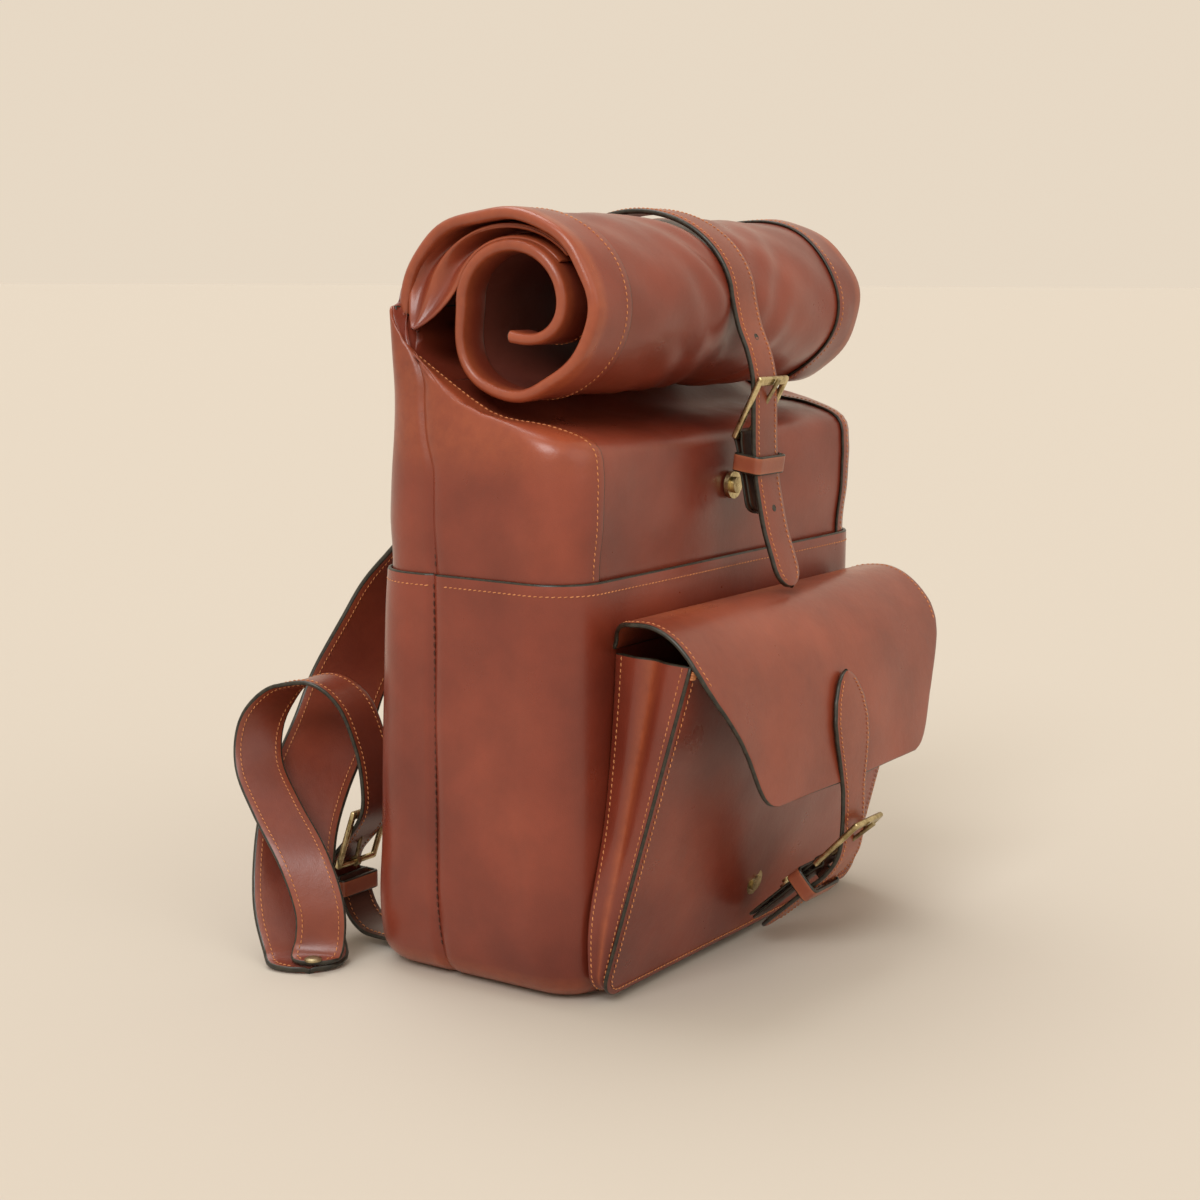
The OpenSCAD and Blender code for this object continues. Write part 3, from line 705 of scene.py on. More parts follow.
def roll_grid(a0, a1, x0, x1, off, curl=0.0, ends=(False, False)):
    """Rows run along X and columns round the spiral, about 4 apart. Curled ends turn in on a radius."""
    ang = np.arange(a0, a1 + 0.1, 4)
    xs = [(x, 0.0) for x in np.linspace(x0, x1, int((x1 - x0) / 4) + 1)]
    if curl:
        lip = [(curl * math.sin(t), curl * (1 - math.cos(t))) for t in np.radians(np.arange(22.5, 181, 22.5))]
        lip += [(-8.0, 2 * curl), (-16.0, 2 * curl)]
        if ends[1]:
            xs = xs + [(x1 + u, v) for u, v in lip]
        if ends[0]:
            xs = [(x0 - u, v) for u, v in lip[::-1]] + xs
    grid = []
    for x, deep in xs:
        extra = roll_swell(ang, x) * smooth((300 - ang) / 60) * smooth((ang - 5) / 30)
        yz = roll_point(ang, off - deep + extra)
        grid.append(np.column_stack([np.full(len(ang), x), yz]))
    return np.array(grid)


# %% Leather of the roll
RIM_R = 3.4
roll_out = (ROLL_T + 0.8) / 2 + ROLL_T / 2
grid = roll_grid(-6, 630, -128, 128, roll_out - 1.9)
place(skin("roll_outer_leather", grid, 1.8, [body_leather, paint]), "roll", stands_for=["roll_back_layer"])
for side, sx in (("left", -1), ("right", 1)):
    lo, hi = (-ROLL_HALF + RIM_R, -118) if sx < 0 else (118, ROLL_HALF - RIM_R)
    grid = roll_grid(-6, 630, lo, hi, roll_out, curl=RIM_R, ends=(sx < 0, sx > 0))
    edge = np.abs(np.abs(grid[..., 0]) - ROLL_HALF) < 8
    place(skin(f"roll_{side}_edge_leather", grid, 1.8, [body_leather, paint], pull=0.45 * edge), "roll")
    n = surface_normals(grid)
    row = -2 if sx < 0 else 1
    place(stitches(f"roll_{side}_stitches", grid[row], n[row]), "roll")
grid = roll_grid(0, 600, -146, 146, -roll_out + 2 * ROLL_T - 2.6)
place(skin("roll_inner_leather", grid, ROLL_T, [inner_leather, paint]), "roll", stands_for=["roll_front_layer"])
print("roll done")

# %% [markdown]
# At each end the sides of the mouth are folded in between the outer turn and the inner one. The
# folds start together at the top of the side seam and fan out upwards, deeper as they go.

# %% Folds at the ends of the roll
for side, sx in (("left", -1), ("right", 1)):
    ang = np.arange(-16, 141, 4.0)
    u = np.linspace(0, 1, 31)
    outer = roll_point(ang, -2.2)
    inner = roll_point(ang + 360, roll_out + 1.2)
    meet = np.array([sx * 158.0, 33.0, 366.0])
    open_up = smooth((ang + 16) / 34)
    deep = 3 + 30 * smooth((ang - 5) / 120)
    ridge = 0.5 - 0.5 * np.cos(2 * math.pi * 2 * u ** 0.9)
    grid = np.zeros((len(ang), len(u), 3))
    grid[..., 0] = sx * (147.5 - deep[:, None] * ridge[None] - 3 * smooth((ang[:, None] - 60) / 60))
    grid[..., 1:] = outer[:, None] * (1 - u[None, :, None]) + inner[:, None] * u[None, :, None]
    grid = meet + (grid - meet) * open_up[:, None, None]
    soft = 0.5 * (1 - ridge)[None] * open_up[:, None]
    n = surface_normals(grid)
    sign = np.sign(np.sum(n[20, 2] * [sx, 0, 0]))
    place(skin(f"roll_{side}_folds", grid, 1.6, [body_leather], normals=n * sign, pull=soft), "roll")
print("folds done")

# %% [markdown]
# The neck joins the upper body to the roll. It is the same leather, drawn in to a flat mouth, and
# its sides fold inward in a V.

# %% Neck


def ring(r, fold):
    """A whole section, whose sides are drawn inward by fold at the seam."""
    front, back = (half_section(r, sy, flat=49, side=7, corner=7, turn_in=0) for sy in (-1, 1))
    loop = np.vstack([front, back[::-1]])
    inward = fold * np.exp(-((loop[:, 1] - r[6]) / 9) ** 2) * (np.abs(loop[:, 0]) > r[0] - r[5])
    loop[:, 0] -= np.sign(loop[:, 0]) * inward
    return np.vstack([loop, loop[:1]])


top = shoulder(SHOULDER[-1], LAP + 1)
neck_rows = [shoulder([4.6, 14, 341, 368, 11, 55], LAP + 1), top,
             [top[0] - 3, 36, 362, 49.2, 380, 6, 42], [top[0] - 7, 42, 371, 48.3, 386, 3, 45],
             [top[0] - 10, 44.2, 380, 47.6, 390, 1.6, 46]]
rings = curve(neck_rows, 4)
grid = np.array([ring(list(r), fold=5 * smooth((r[2] - 346) / 26)) for r in rings])
place(skin("neck_leather", grid, 1.2, [body_leather]), "body",
      bend=("body", "roll", (0, 45, 366), (0, 48, 388)))
print("neck", grid.shape)

# %% [markdown]
# ## Straps
# Every strap is a strip of firm leather with a slightly crowned face, rounded ends, painted edges
# and a row of stitches near each edge. It is drawn along the CAD's own line.

# %% Line and ends of a strap


def ribbon_frame(rows, step):
    """Rows of [X, Y, Z, and the direction across] give the middle line, across and up, evenly spaced."""
    dense = even(curve(rows, 6), step)
    c, w = dense[:, :3], dense[:, 3:6]
    t = unit(np.gradient(c, axis=0))
    w = unit(w - t * np.sum(w * t, axis=1, keepdims=True))
    return c, w, np.cross(w, t)


TIP_STEPS = np.array([0.0, 0.4, 1.2, 2.6, 4.5, 7.0])   # lengths of the close rows at a rounded end
TIP_END = 8


def round_ends(s, width, tip):
    """Lengths with close rows at the rounded ends, and the half width at each of them."""
    lo, hi = TIP_END if tip[0] else -1, s[-1] - TIP_END if tip[1] else s[-1] + 1
    parts = [TIP_STEPS] * bool(tip[0]) + [s[(s > lo) & (s < hi)]] + [s[-1] - TIP_STEPS[::-1]] * bool(tip[1])
    at = np.concatenate(parts)
    half = np.full(len(at), width / 2)
    for size, dist in ((tip[0], at), (tip[1], at[-1] - at)):
        if size:
            short = np.clip(1 - (dist + 0.15) / (width / 2 * size), 0, 1)
            half *= np.sqrt(np.clip(1 - short ** 2, 0.02, 1))
    return at, half


# %% Strap maker


def strap(name, rows, width, thick, body, face=1, tip=(0, 0), crown=0.5, sewn=True, mats=(strap_leather, paint),
          step=2.5, pull=None, bend=None, stands_for=(), inset=3.0, both=False):
    """A strip along its rows. face says which side shows, tip how round each end is, and inset how far in the
    stitches lie. Sewn both ways, it has stitches on its back too."""
    c, w, up = ribbon_frame(rows, step)
    s = arc_length(c)
    at, half = round_ends(s, width, tip)
    c, w, up = (at_lengths(q, s, at) for q in (c, w, up))
    s = at
    up = unit(up) * face
    u = np.linspace(-1, 1, 9) if face > 0 else np.linspace(1, -1, 9)
    grid = c[:, None] + w[:, None] * (u[None, :, None] * half[:, None, None])
    grid = grid + up[:, None] * (thick / 2 + crown * (1 - u ** 2))[None, :, None]
    n = np.broadcast_to(up[:, None], grid.shape) + w[:, None] * (u * crown * 0.12)[None, :, None]
    soft = 0.25 + 0.5 * np.abs(u)[None, :] ** 6 + np.zeros((len(s), 1))
    if pull is not None:
        soft = soft + np.interp(s, *pull)[:, None]
    obj = skin(name, grid, thick, mats, normals=unit(n), pull=np.clip(soft * 0.6, 0, 1), bulge=0.9)
    place(obj, body, stands_for, bend)
    if not sewn:
        return
    long = s[-1] - 2 * inset
    at = np.clip(np.linspace(inset, inset + long, max(3, int(long / 2))), 0, s[-1])
    h = np.interp(at, s, half) - inset
    across = at_lengths(w, s, at)
    for f, ending, lift in ((1, "", 0.35), (-1, "_under", 0.05))[:2 if both else 1]:
        out = at_lengths(up, s, at) * f
        middle = at_lengths(c + up * (thick / 2 * f), s, at)
        for letter, sgn in (("a", -1), ("b", 1)):
            line = middle + across * (sgn * h)[:, None] + out * lift
            row = stitches(f"{name}_stitches_{letter}{ending}", line, out, pitch=3.0, long=2.3, r=0.33)
            place(row, body, bend=bend)


def in_x(points):
    """[Y, Z] points as strap rows that lie across X."""
    return [[0, y, z, 1, 0, 0] for y, z in points]


# %% [markdown]
# The closing strap is sewn to the back of the roll, lies over its top and hangs down the front.
# Its end passes through a buckle and a keeper. The first part of it is an anchor piece, painted
# at its end, and the tail below the keeper is a piece of its own.

# %% Closing strap
STRAP_W, STRAP_T = 25, 3
STRAP_OFF = 1.5 + ROLL_T / 2 + 0.5 + STRAP_T / 2   # from the spiral's middle line to the strap's own
over = [roll_point(a, STRAP_OFF - 0.6) for a in np.arange(56, 181, 8.0)]
anchor = [roll_point(a, STRAP_OFF + 1.6) for a in np.arange(8, 66, 8.0)]
drop = [(-88, 366), (-94, 352), (-98, 336), (-98.6, 318), (-99, 298), (-100.1, 286)]
lift = ("roll", "closure", (0, 20, 428), (0, 0, 432))
strap("closure_anchor_leather", in_x(anchor), STRAP_W, 2.6, "roll", face=-1, tip=(0, 0.5),
      stands_for=["closure_anchor"])
strap("closure_strap_leather", in_x(over + drop), STRAP_W, STRAP_T, "closure", face=-1, bend=lift,
      stands_for=["closure_strap"], pull=([0, 120, 150, 190, 215], [0, 0.1, 0.5, 0.1, 0]))
tail = [(-100.1, 286), (-101.2, 276.3), (-106.3, 252), (-111.6, 236), (-118.0, 217.5)]
tail_bend = ("closure", "closure_tail", (0, -100.4, 281), (0, -101.8, 271))
strap("closure_tail_leather", in_x(tail), STRAP_W, STRAP_T, "closure", face=-1, tip=(0, 1),
      stands_for=["closure_tail"], bend=tail_bend)
print("closing strap done")

# %% [markdown]
# A keeper is a short loop of leather round the strap and the tab behind it. It is drawn as a box
# with round corners, stood on the strap's own slope.

# %% Keepers
KEEPER_DEPTH, KEEPER_HIGH, KEEPER_T = 18.4, 9, 2.2


def tilted(y, z, tilt, local, x=0.0):
    """Local [across, out, along] points on a buckle's plane, whose lower bar is at (y, z)."""
    a = math.radians(tilt)
    across, o, v = np.asarray(local, float).T
    s, c = math.sin(a), math.cos(a)
    return np.column_stack([across + x, y - v * s - o * c, z + v * c - o * s])


def round_box(half_w, half_d, r, steps):
    """Outline of a box with round corners, from its right side and back to it."""
    pts = []
    for sx, sy, a0 in ((1, 1, 0), (-1, 1, 90), (-1, -1, 180), (1, -1, 270)):
        pts += [(sx * (half_w - r) + r * math.cos(a), sy * (half_d - r) + r * math.sin(a))
                for a in np.radians(np.linspace(a0, a0 + 90, steps))]
    return np.array(pts + pts[:1])


def keeper(name, body, y, z, tilt, node, x=0.0, wide=27.5):
    loop = even(round_box(wide / 2 + KEEPER_T, KEEPER_DEPTH / 2, 3.0, 7), 1.6, 2)
    rows = [tilted(y, z, tilt, np.column_stack([loop, np.full(len(loop), v)]), x)
            for v in np.linspace(-KEEPER_HIGH / 2, KEEPER_HIGH / 2, 7)]
    grid = np.array(rows)[:, ::-1]
    soft = np.tile(np.abs(np.linspace(-1, 1, 7))[:, None] ** 4 * 0.5 + 0.2, (1, grid.shape[1]))
    place(skin(name, grid, KEEPER_T, [keeper_leather, paint], pull=soft), body, stands_for=[node])


keeper("closure_keeper_leather", "closure", -95.6, 288, 8, "closure_keeper")
keeper("pocket_keeper_leather", "flap", -136.3, 45.4, 47.9, "pocket_keeper")
for side, sx in (("left", -1), ("right", 1)):
    keeper(f"{side}_keeper_leather", f"{side}_strap", 113.4, 32, 0, f"{side}_keeper", x=sx * 124, wide=29)
print("keepers done")

# %% [markdown]
# ## Front pocket
# The pocket is a wedge: a flat front with round lower corners, and one strip folded round its
# sides and bottom. The strip is sewn edge to edge with the front, and both raw edges are painted.

# %% Pocket front
PB, PT = np.array([-84.0, 5.0]), np.array([-135.0, 193.0])
POCKET_W, POCKET_R, POCKET_H = 280, 14, float(np.linalg.norm(PT - PB))
lean_dir = (PT - PB) / POCKET_H
lean_out = np.array([-lean_dir[1], lean_dir[0]])


def on_pocket(x, h, out=0.0):
    yz = PB + lean_dir * np.asarray(h, float)[..., None] + lean_out * np.asarray(out, float)[..., None]
    return np.concatenate([np.asarray(x, float)[..., None], yz], -1)


def flare(h):
    """The pocket is a little wider at its bottom than at its mouth."""
    return 7 * (1 - np.clip(np.asarray(h, float) / POCKET_H, 0, 1))


def half_width(h, w, r):
    low = np.clip(r - h, 0, r)
    return w / 2 - r + np.sqrt(np.maximum(r * r - low * low, 0)) + flare(h)


hs = POCKET_R * (1 - np.cos(np.radians(np.arange(6, 91, 12))))
hs = np.concatenate([hs, np.arange(POCKET_R + 4, POCKET_H + 0.1, 4)])
hs[-1] = POCKET_H
us = np.linspace(-1, 1, 71)
hw = half_width(hs, POCKET_W, POCKET_R)
X = us[None] * hw[:, None]
H = np.broadcast_to(hs[:, None], X.shape)
dome = 2.2 * np.cos(us * math.pi / 2)[None] ** 0.6 * np.sin(np.clip(H / POCKET_H, 0, 1) * math.pi) ** 0.6
grid = on_pocket(X, H, LEATHER + dome * 0.8 + ripple(np.stack([X, H, H * 0.6], -1), 0.5) * dome / 2.2)
place(skin("pocket_front_leather", grid, LEATHER, [body_leather, paint]), "body", stands_for=["pocket_front"])
print("pocket front", grid.shape)


def pocket_rim(inset):
    """Path round the open top, down one side, along the bottom and up the other: [x, h]."""
    w, r = POCKET_W / 2 - inset, POCKET_R - inset
    pts = [(-w, POCKET_H - 1), (-w, POCKET_R)]
    pts += [(-w + r - r * math.cos(a), POCKET_R - r * math.sin(a)) for a in np.radians(np.arange(9, 90, 9))]
    pts += [(-w + r, inset)]
    pts = np.array(pts + [(-x, h) for x, h in pts[::-1]])
    pts[:, 0] += np.sign(pts[:, 0]) * flare(pts[:, 1]) * np.clip(np.abs(pts[:, 0]) / 60, 0, 1)
    return even(pts, 2.5, 2)


rim = pocket_rim(3.4)
line = on_pocket(rim[:, 0], rim[:, 1], LEATHER + 0.7)
place(stitches("pocket_rim_stitches", line, np.tile([0, *lean_out], (len(line), 1))), "body")

# %% Pocket strip
rim = pocket_rim(1.0)
edge_n = np.zeros_like(rim)
tangent = unit(np.gradient(rim, axis=0))
edge_n[:, 0], edge_n[:, 1] = tangent[:, 1], -tangent[:, 0]
edge_n *= np.sign(np.sum(edge_n * (rim - [0, 100]), axis=1))[:, None]
front = on_pocket(rim[:, 0], rim[:, 1], -0.3)
back = front.copy()
back[:, 1] = FRONT_Y - 1.0
back[:, 2] = np.minimum(front[:, 2], 197)
wide = np.clip((np.abs(back[:, 0]) - 90) / 40, 0, 1)
stand_out = 8 * np.exp(-((front[:, 2] - 45) / 38) ** 2) - 13 * smooth((front[:, 2] - 5) / 190)
back[:, 0] += np.sign(back[:, 0]) * wide * stand_out
v = np.linspace(0, 1, 13)
grid = front[:, None] * (1 - v)[None, :, None] + back[:, None] * v[None, :, None]
depth = np.linalg.norm(front - back, axis=1)
crease = 4.0 * np.exp(-((v - 0.5) / 0.14) ** 2)[None] * np.clip(depth / 55, 0, 1)[:, None]
belly = 2.0 * np.sin(v * math.pi)[None] * np.clip(depth / 55, 0, 1)[:, None]
move = (belly - crease) * (1 + 0.2 * np.sin(np.arange(len(rim)) / 9))[:, None]
grid[..., 0] += edge_n[:, 0][:, None] * (move - 0.6)
grid[..., 2] += edge_n[:, 1][:, None] * (move - 0.6)
soft = 0.5 * np.exp(-((v - 0.5) / 0.1) ** 2)[None] + np.zeros((len(rim), 1))
n = surface_normals(grid)
sign = np.sign(np.sum(n[2, 6] * [-1, 0, 0]))
place(skin("pocket_strip_leather", grid, LEATHER, [body_leather, paint], normals=n * sign, pull=soft,
           plain_sides=(1,)), "body", stands_for=["pocket_gusset"])
place(stitches("pocket_strip_stitches", grid[:, 1], n[:, 1] * sign), "body")
place(stitches("pocket_strip_back_stitches", grid[:, -2], n[:, -2] * sign), "body")
for side, sx in (("left", -1), ("right", 1)):
    knot = []
    for k in range(4):
        p = on_pocket(sx * (POCKET_W / 2 - 2.0), POCKET_H - 2.0 - k * 1.3, LEATHER + 0.9)
        knot += [p + [sx * 2.2, 1.5, 0], p - [sx * 2.2, 1.5, 0]]
    out = np.tile([0, *lean_out], (len(knot), 1))
    place(stitches(f"pocket_{side}_knot", knot, out, pitch=4.8, long=4.6, r=0.65, lean=0), "body")
print("pocket strip done")

# %% [markdown]
# The pocket flap is one wide piece, sewn to the body along its upper edge and folded over the
# pocket. Its lower edge is an arch between two rounded corners.

# %% Pocket flap
ROOT = [(-79.2, 196), (-80.8, 199), (-84, 205.5), (-90, 210), (-97.7, 211.9)]
FLAP = [(-112, 212), (-126, 206), (-139, 193), (-147.5, 176), (-153, 154), (-156, 130), (-157.5, 110)]
FLAP_T = 2.6
side_line = even(curve([list(p) for p in ROOT + FLAP], 8), 1.6, 2)
line_s = arc_length(side_line)
FLAP_EDGE = [(110, 84), (110.8, 88), (113, 92.5), (117, 97), (123, 101), (131, 105), (140, 109.5), (152, 117),
             (164, 126), (174, 133.5), (183, 138.5), (192, 141), (230, 141)]   # Z and half width


def flap_hw(z):
    """Half width of the flap at each Z."""
    edge_z, edge_x = zip(*FLAP_EDGE)
    return np.interp(z, edge_z, edge_x)


at = side_line[:, 1]
past = line_s > line_s[np.argmax(at)]
fw = np.where(past, flap_hw(at), 126 + 15 * smooth(line_s / 30))
us = np.linspace(-1, 1, 91)
grid = np.zeros((len(line_s), len(us), 3))
tang = unit(np.gradient(side_line, axis=0))
outn = np.column_stack([tang[:, 1], -tang[:, 0]])
outn *= np.sign(outn[len(outn) // 2] @ np.array([-1.0, 0.5]))
for i in range(len(line_s)):
    x = us * fw[i]
    k = max(0.0, (line_s[i] - 30) / 120)
    wave = 0.9 * np.sin(x / 38 + 0.7) + 1.2 * np.cos(x / 100) + 0.35 * np.sin(x / 13 + line_s[i] / 21)
    lift_off = FLAP_T / 2 + wave * k
    grid[i, :, 0] = x
    grid[i, :, 1] = side_line[i, 0] + outn[i, 0] * lift_off
    grid[i, :, 2] = side_line[i, 1] + outn[i, 1] * lift_off
fold_pull = 0.75 * np.exp(-((line_s - 26) / 13) ** 2)[:, None] * (0.6 + 0.4 * np.sin(us * 9 + 1))[None]
n = np.zeros_like(grid)
n[..., 1], n[..., 2] = outn[:, :1], outn[:, 1:]
flap_bend = ("body", "flap", (0, -90, 209), (0, -106, 213))
soft = np.clip(fold_pull + 0.15, 0, 1)
place(skin("pocket_flap_leather", grid, FLAP_T, [body_leather, paint], normals=n, pull=soft), "flap",
      stands_for=["pocket_flap", "pocket_flap_root"], bend=flap_bend)
for sgn, word in ((-1, "left"), (1, "right")):
    rows = [i for i in range(6, len(line_s)) if line_s[i] < 88]
    path = np.array([[np.interp(sgn * (1 - 3.2 / fw[i]), us, grid[i, :, k]) for k in range(3)] for i in rows])
    place(stitches(f"flap_{word}_stitches", path, n[rows, 0]), "flap", bend=flap_bend)
root = grid[1][2:-2]
place(stitches("flap_root_stitches", root, np.tile([0, *outn[1]], (len(root), 1))), "body")
print("flap", grid.shape)

# %% [markdown]
# The pocket closes with a strap whose head is cut like a leaf and sewn to the flap. It runs down
# through a buckle and a keeper, and tapers back under the pocket. Behind it hangs a tab that
# carries the snap.

# %% Leaf strap
LEAF_T = 2.6
LEAF = [(-154.4, 171.5), (-157.4, 154), (-160.1, 130), (-161.0, 104), (-160.9, 82), (-158.7, 66), (-151, 53.5),
        (-140, 43.5), (-124, 29), (-107, 14)]
leaf = even(curve([list(p) for p in LEAF], 6), 1.6, 2)
leaf_half = np.interp(leaf[:, 1], [12, 13, 15, 19, 26, 104, 118, 132, 144, 156, 166, 170, 171.5],
                      [2, 5, 8.5, 11.5, 12.5, 12.5, 15.6, 18.6, 19.2, 16, 9.5, 4.5, 1.2])
tang = unit(np.gradient(leaf, axis=0))
outn = np.column_stack([tang[:, 1], -tang[:, 0]])
us = np.linspace(-1, 1, 11)
grid = np.zeros((len(leaf), len(us), 3))
grid[..., 0] = -us[None] * leaf_half[:, None]
grid[..., 1:] = (leaf + outn * LEAF_T / 2)[:, None] + outn[:, None] * (0.35 * (1 - us ** 2))[None, :, None]
n = np.zeros_like(grid)
n[..., 1:] = outn[:, None]
flip = -1 if outn[20, 0] > 0 else 1
n *= flip
grid[..., 1:] += n[..., 1:] * (0 if flip > 0 else LEAF_T)
grid = grid[:, ::flip]
soft = 0.3 + 0.5 * np.exp(-((leaf[:, 1] - 60) / 12) ** 2)[:, None] + 0 * us[None]
place(skin("leaf_strap_leather", grid, LEAF_T, [strap_leather, paint], normals=n, pull=soft), "flap",
      stands_for=["pocket_strap"])
sewn = np.where((leaf[:, 1] < 168) & (leaf[:, 1] > 16))[0]
for sgn, word in ((-1, "left"), (1, "right")):
    path = np.array([[sgn * max(leaf_half[i] - 2.6, 0.4), *(leaf[i] + n[i, 0, 1:] * 1.75)] for i in sewn])
    place(stitches(f"leaf_{word}_stitches", path, n[sewn, 0], pitch=2.7, long=2.0, r=0.3), "flap")
print("leaf strap done")

# %% Tabs behind the buckles
TAB_W, TAB_T, TAB_LOOP = 23.5, 1.5, 3.0


def tab(name, y, z, tilt, length, body, node):
    """A strip folded over the buckle's lower bar, with its two ends together behind the strap."""
    local = [(0, -1.4, -length), (0, -1.4, -length * 0.5), (0, -1.6, -6)]
    for a in np.radians(np.arange(0, 181, 30)):
        local.append((0, -TAB_LOOP * math.cos(a) * 0.9, TAB_LOOP * math.sin(a)))
    local += [(0, 1.6, -6), (0, 1.4, -length * 0.5), (0, 1.4, -length + 0.6)]
    # The tab's leather is darkened as painted shade, for a tab that hangs in shadow behind its buckle.
    strap(name, in_x(tilted(y, z, tilt, local)[:, 1:]), TAB_W, TAB_T, body, face=-1, tip=(0.55, 0.55), crown=0.1,
          sewn=False, step=1.6, mats=(painted_shade_leather, paint), stands_for=[node])


tab("closure_tab_leather", -88, 304, -10.8, 46, "closure", "closure_tab")
tab("pocket_tab_leather", -146, 60, 47.9, 64, "flap", "pocket_tab")

# %% [markdown]
# A buckle frame is cast brass: a flat bar across its top, round sides and a thinner bar below,
# where the tab and the prong hang. It is a block with a window cut through it, whose edges are
# then rounded.

# %% Buckle frames
FRAME_LEN, BAR_T, BAR_SIDE, BAR_TOP, BAR_ROUND = 36, 3.4, 3.2, 2.2, 1.35


def buckle_frame(name, width, body, node, where, tilt, turn=0):
    """One frame, modelled upright on its lower bar and then set into place."""
    wide, tall, thick, side = (width + 8) * MM, (FRAME_LEN + BAR_T) * MM, BAR_T * MM, BAR_SIDE * MM
    bpy.ops.object.select_all(action="DESELECT")
    bpy.ops.mesh.primitive_cube_add(size=1, location=(0, 0, FRAME_LEN / 2 * MM), scale=(wide, thick, tall))
    obj = bpy.context.object
    obj.name = name
    bpy.ops.object.transform_apply(location=True, rotation=True, scale=True)
    bpy.ops.object.mode_set(mode="EDIT")
    bpy.ops.mesh.select_mode(type="FACE")
    bpy.ops.mesh.select_all(action="DESELECT")
    bm = bmesh.from_edit_mesh(obj.data)
    for f in bm.faces:
        f.select_set(abs(f.normal.y) > 0.9)
    bmesh.update_edit_mesh(obj.data)
    bpy.ops.mesh.inset(thickness=side, use_individual=True)
    bpy.ops.mesh.bridge_edge_loops()
    bpy.ops.mesh.select_mode(type="VERT")
    bpy.ops.mesh.select_all(action="DESELECT")
    bm = bmesh.from_edit_mesh(obj.data)
    inner_top = (FRAME_LEN + BAR_T / 2) * MM - side
    for v in bm.verts:
        v.select_set(abs(v.co.z - inner_top) < 0.0002 and abs(v.co.x) < wide / 2 - side / 2)
    bm.select_flush_mode()
    bmesh.update_edit_mesh(obj.data)
    bpy.ops.transform.translate(value=(0, 0, -BAR_TOP * MM))
    bpy.ops.object.mode_set(mode="OBJECT")
    bev = obj.modifiers.new("round", "BEVEL")
    bev.width = BAR_ROUND * MM
    bev.segments = 4
    bev.limit_method = "ANGLE"
    bpy.ops.object.modifier_apply(modifier="round")
    bpy.ops.object.shade_smooth_by_angle(angle=math.radians(50))
    obj.data.materials.append(antique_brass)
    spot = Matrix.Translation(Vector(where) * MM) @ Matrix.Rotation(math.radians(turn), 4, "Z")
    obj.data.transform(spot @ Matrix.Rotation(math.radians(tilt), 4, "X"))
    place(obj, body, stands_for=[node])


buckle_frame("closure_frame_brass", 25, "closure", "closure_buckle_frame", (0, -88, 304), 26.6)
buckle_frame("pocket_frame_brass", 25, "flap", "pocket_buckle_frame", (0, -146, 60), 43.9)
for side, sx in (("left", -1), ("right", 1)):
    buckle_frame(f"{side}_frame_brass", 27, f"{side}_strap", f"{side}_buckle_frame", (sx * 124, 108.5, 46), tilt=-20,
                 turn=180)
print("buckle frames done")

# %% [markdown]
# The closing strap has punched holes for the prong. Each is drawn as a small dark dish with a pressed lip:
# the lip and wall are edge paint, and the hollow of the hole is a dark disc of painted shade.

# %% Punched holes
HOLE_R = 1.75


def punched_hole(name, where, out, body, bend=None):
    bpy.ops.object.select_all(action="DESELECT")
    bpy.ops.mesh.primitive_torus_add(major_radius=HOLE_R * MM, minor_radius=0.35 * MM, major_segments=20,
                                     minor_segments=8)
    lip = bpy.context.object
    # The hollow of the hole is a flat disc of edge paint, as painted shade.
    bpy.ops.mesh.primitive_cylinder_add(vertices=20, radius=(HOLE_R - 0.15) * MM, depth=0.3 * MM)
    painted_shade_disc = bpy.context.object
    bpy.ops.object.select_all(action="DESELECT")
    lip.select_set(True)
    painted_shade_disc.select_set(True)
    bpy.context.view_layer.objects.active = lip
    bpy.ops.object.join()
    lip.name = name
    bpy.ops.object.shade_smooth_by_angle(angle=math.radians(40))
    lip.data.materials.append(paint)
    turn = Vector((0, 0, 1)).rotation_difference(Vector(out)).to_matrix().to_4x4()
    lip.data.transform(Matrix.Translation(Vector(where) * MM) @ turn)
    place(lip, body, bend=bend)


punched_hole("closure_hole_upper", (0, -92.6, 360), (0, -0.93, 0.36), "closure")
punched_hole("closure_hole_lower", (0, -105.95, 262), (0, -0.98, 0.2), "closure_tail", bend=tail_bend)
print("holes done")

# %% [markdown]
# ## Shoulder straps
# Each shoulder strap is a wide strip sewn into the back near the top. It bows out, comes down to
# the floor and turns forward, where it narrows to an adjusting strap that loops back up into a
# buckle on the base tab. The right one mirrors the left.

